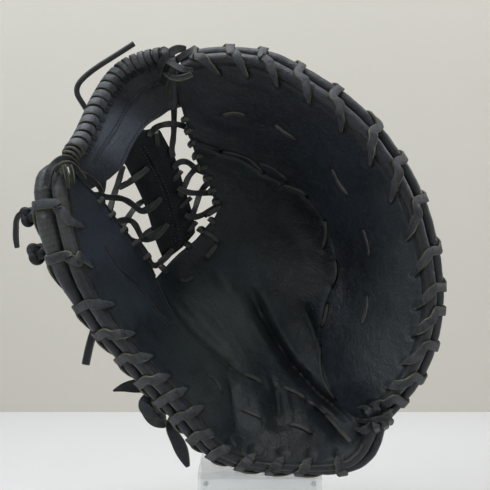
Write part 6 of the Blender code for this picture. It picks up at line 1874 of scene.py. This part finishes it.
# ---------------------------------------------------------------- floor, wall, light, camera
def plain(name, a, b, rough):
    m, nt, sh = shader(name)
    at = add(nt, "TexCoord").outputs["Object"]
    n = noise(nt, at, 3.0, 3)
    nt.links.new(mix(nt, n, a, b), sh.inputs["Base Color"])
    sh.inputs["Roughness"].default_value = rough
    sh.inputs["Specular IOR Level"].default_value = 0.25
    return m


def slab(name, x0, x1, y0, y1, z0, z1, mat):
    v = [(x, y, z) for z in (z0, z1) for x, y in ((x0, y0), (x1, y0), (x1, y1), (x0, y1))]
    f = [(3, 2, 1, 0), (4, 5, 6, 7), (0, 1, 5, 4), (1, 2, 6, 5), (2, 3, 7, 6), (3, 0, 4, 7)]
    me = bpy.data.meshes.new(name)
    me.from_pydata(v, [], f)
    me.materials.append(mat)
    o = bpy.data.objects.new(name, me)
    bpy.context.scene.collection.objects.link(o)
    return o


floor = slab("floor", -3, 3, -3, 3, -0.02, 0.0, plain("floor_white", (0.615, 0.605, 0.60), (0.645, 0.635, 0.63), 0.55))
# The wall is a single sheet, seen from its front and open from behind, so that the back of the mitt can be looked at.
paper = plain("wall_pale", (0.61, 0.575, 0.505), (0.64, 0.605, 0.535), 0.8)
nt = paper.node_tree
body = next(n for n in nt.nodes if n.type == "BSDF_PRINCIPLED")
out = next(n for n in nt.nodes if n.type == "OUTPUT_MATERIAL")
sides = add(nt, "MixShader")
nt.links.new(add(nt, "NewGeometry").outputs["Backfacing"], sides.inputs[0])
nt.links.new(body.outputs["BSDF"], sides.inputs[1])
nt.links.new(add(nt, "BsdfTransparent").outputs["BSDF"], sides.inputs[2])
nt.links.new(sides.outputs["Shader"], out.inputs["Surface"])
sheet = bpy.data.meshes.new("backdrop")
sheet.from_pydata([(-3, 0.53, 0.0), (3, 0.53, 0.0), (3, 0.53, 3.0), (-3, 0.53, 3.0)], [], [(0, 1, 2, 3)])
sheet.materials.append(paper)
backdrop = bpy.data.objects.new("backdrop", sheet)
bpy.context.scene.collection.objects.link(backdrop)

world = bpy.data.worlds.new("studio")
bpy.context.scene.world = world
world.use_nodes = True
world.node_tree.nodes["Background"].inputs["Color"].default_value = (0.92, 0.95, 1.0, 1)
world.node_tree.nodes["Background"].inputs["Strength"].default_value = 0.15


def lamp(name, at, aim, size, power, colour=(1, 1, 1)):
    d = bpy.data.lights.new(name, "AREA")
    d.shape, d.size, d.size_y = "RECTANGLE", size[0], size[1]
    d.energy, d.color = power, colour
    o = bpy.data.objects.new(name, d)
    o.location = at
    o.rotation_euler = (Vector(aim) - Vector(at)).to_track_quat("-Z", "Y").to_euler()
    bpy.context.scene.collection.objects.link(o)
    return o


lamp("top", (-0.15, -0.06, 1.60), (0, 0.03, 0.2), (1.3, 0.8), 17.5, (0.90, 0.95, 1.0))
lamp("key", (-1.05, -0.72, 1.20), (0, 0, 0.2), (0.8, 0.8), 11, (0.88, 0.94, 1.0))
lamp("fill", (1.05, -1.05, 0.45), (0, 0, 0.2), (0.6, 0.8), 3.4, (0.88, 0.94, 1.0))
lamp("rim", (0.95, 0.30, 0.75), (0, 0, 0.2), (0.5, 0.6), 3, (0.97, 0.98, 1.0))
lamp("wall_wash", (0.0, -0.1, 1.5), (0, 0.53, 0.45), (1.8, 0.4), 4.2, (1.0, 0.985, 0.95))

cam = bpy.data.cameras.new("photo_view")
cam.lens, cam.sensor_width, cam.sensor_fit = 71.4, 36.0, "HORIZONTAL"
cam.clip_start, cam.clip_end = 0.01, 20
cam.dof.use_dof = False
eye = bpy.data.objects.new("photo_view", cam)
eye.location = (SHIFT_X, SHIFT_Y - 0.7, MID_Z)
eye.rotation_euler = (math.radians(90), 0, 0)
bpy.context.scene.collection.objects.link(eye)
bpy.context.scene.camera = eye
bpy.context.scene.view_settings.view_transform = "Standard"
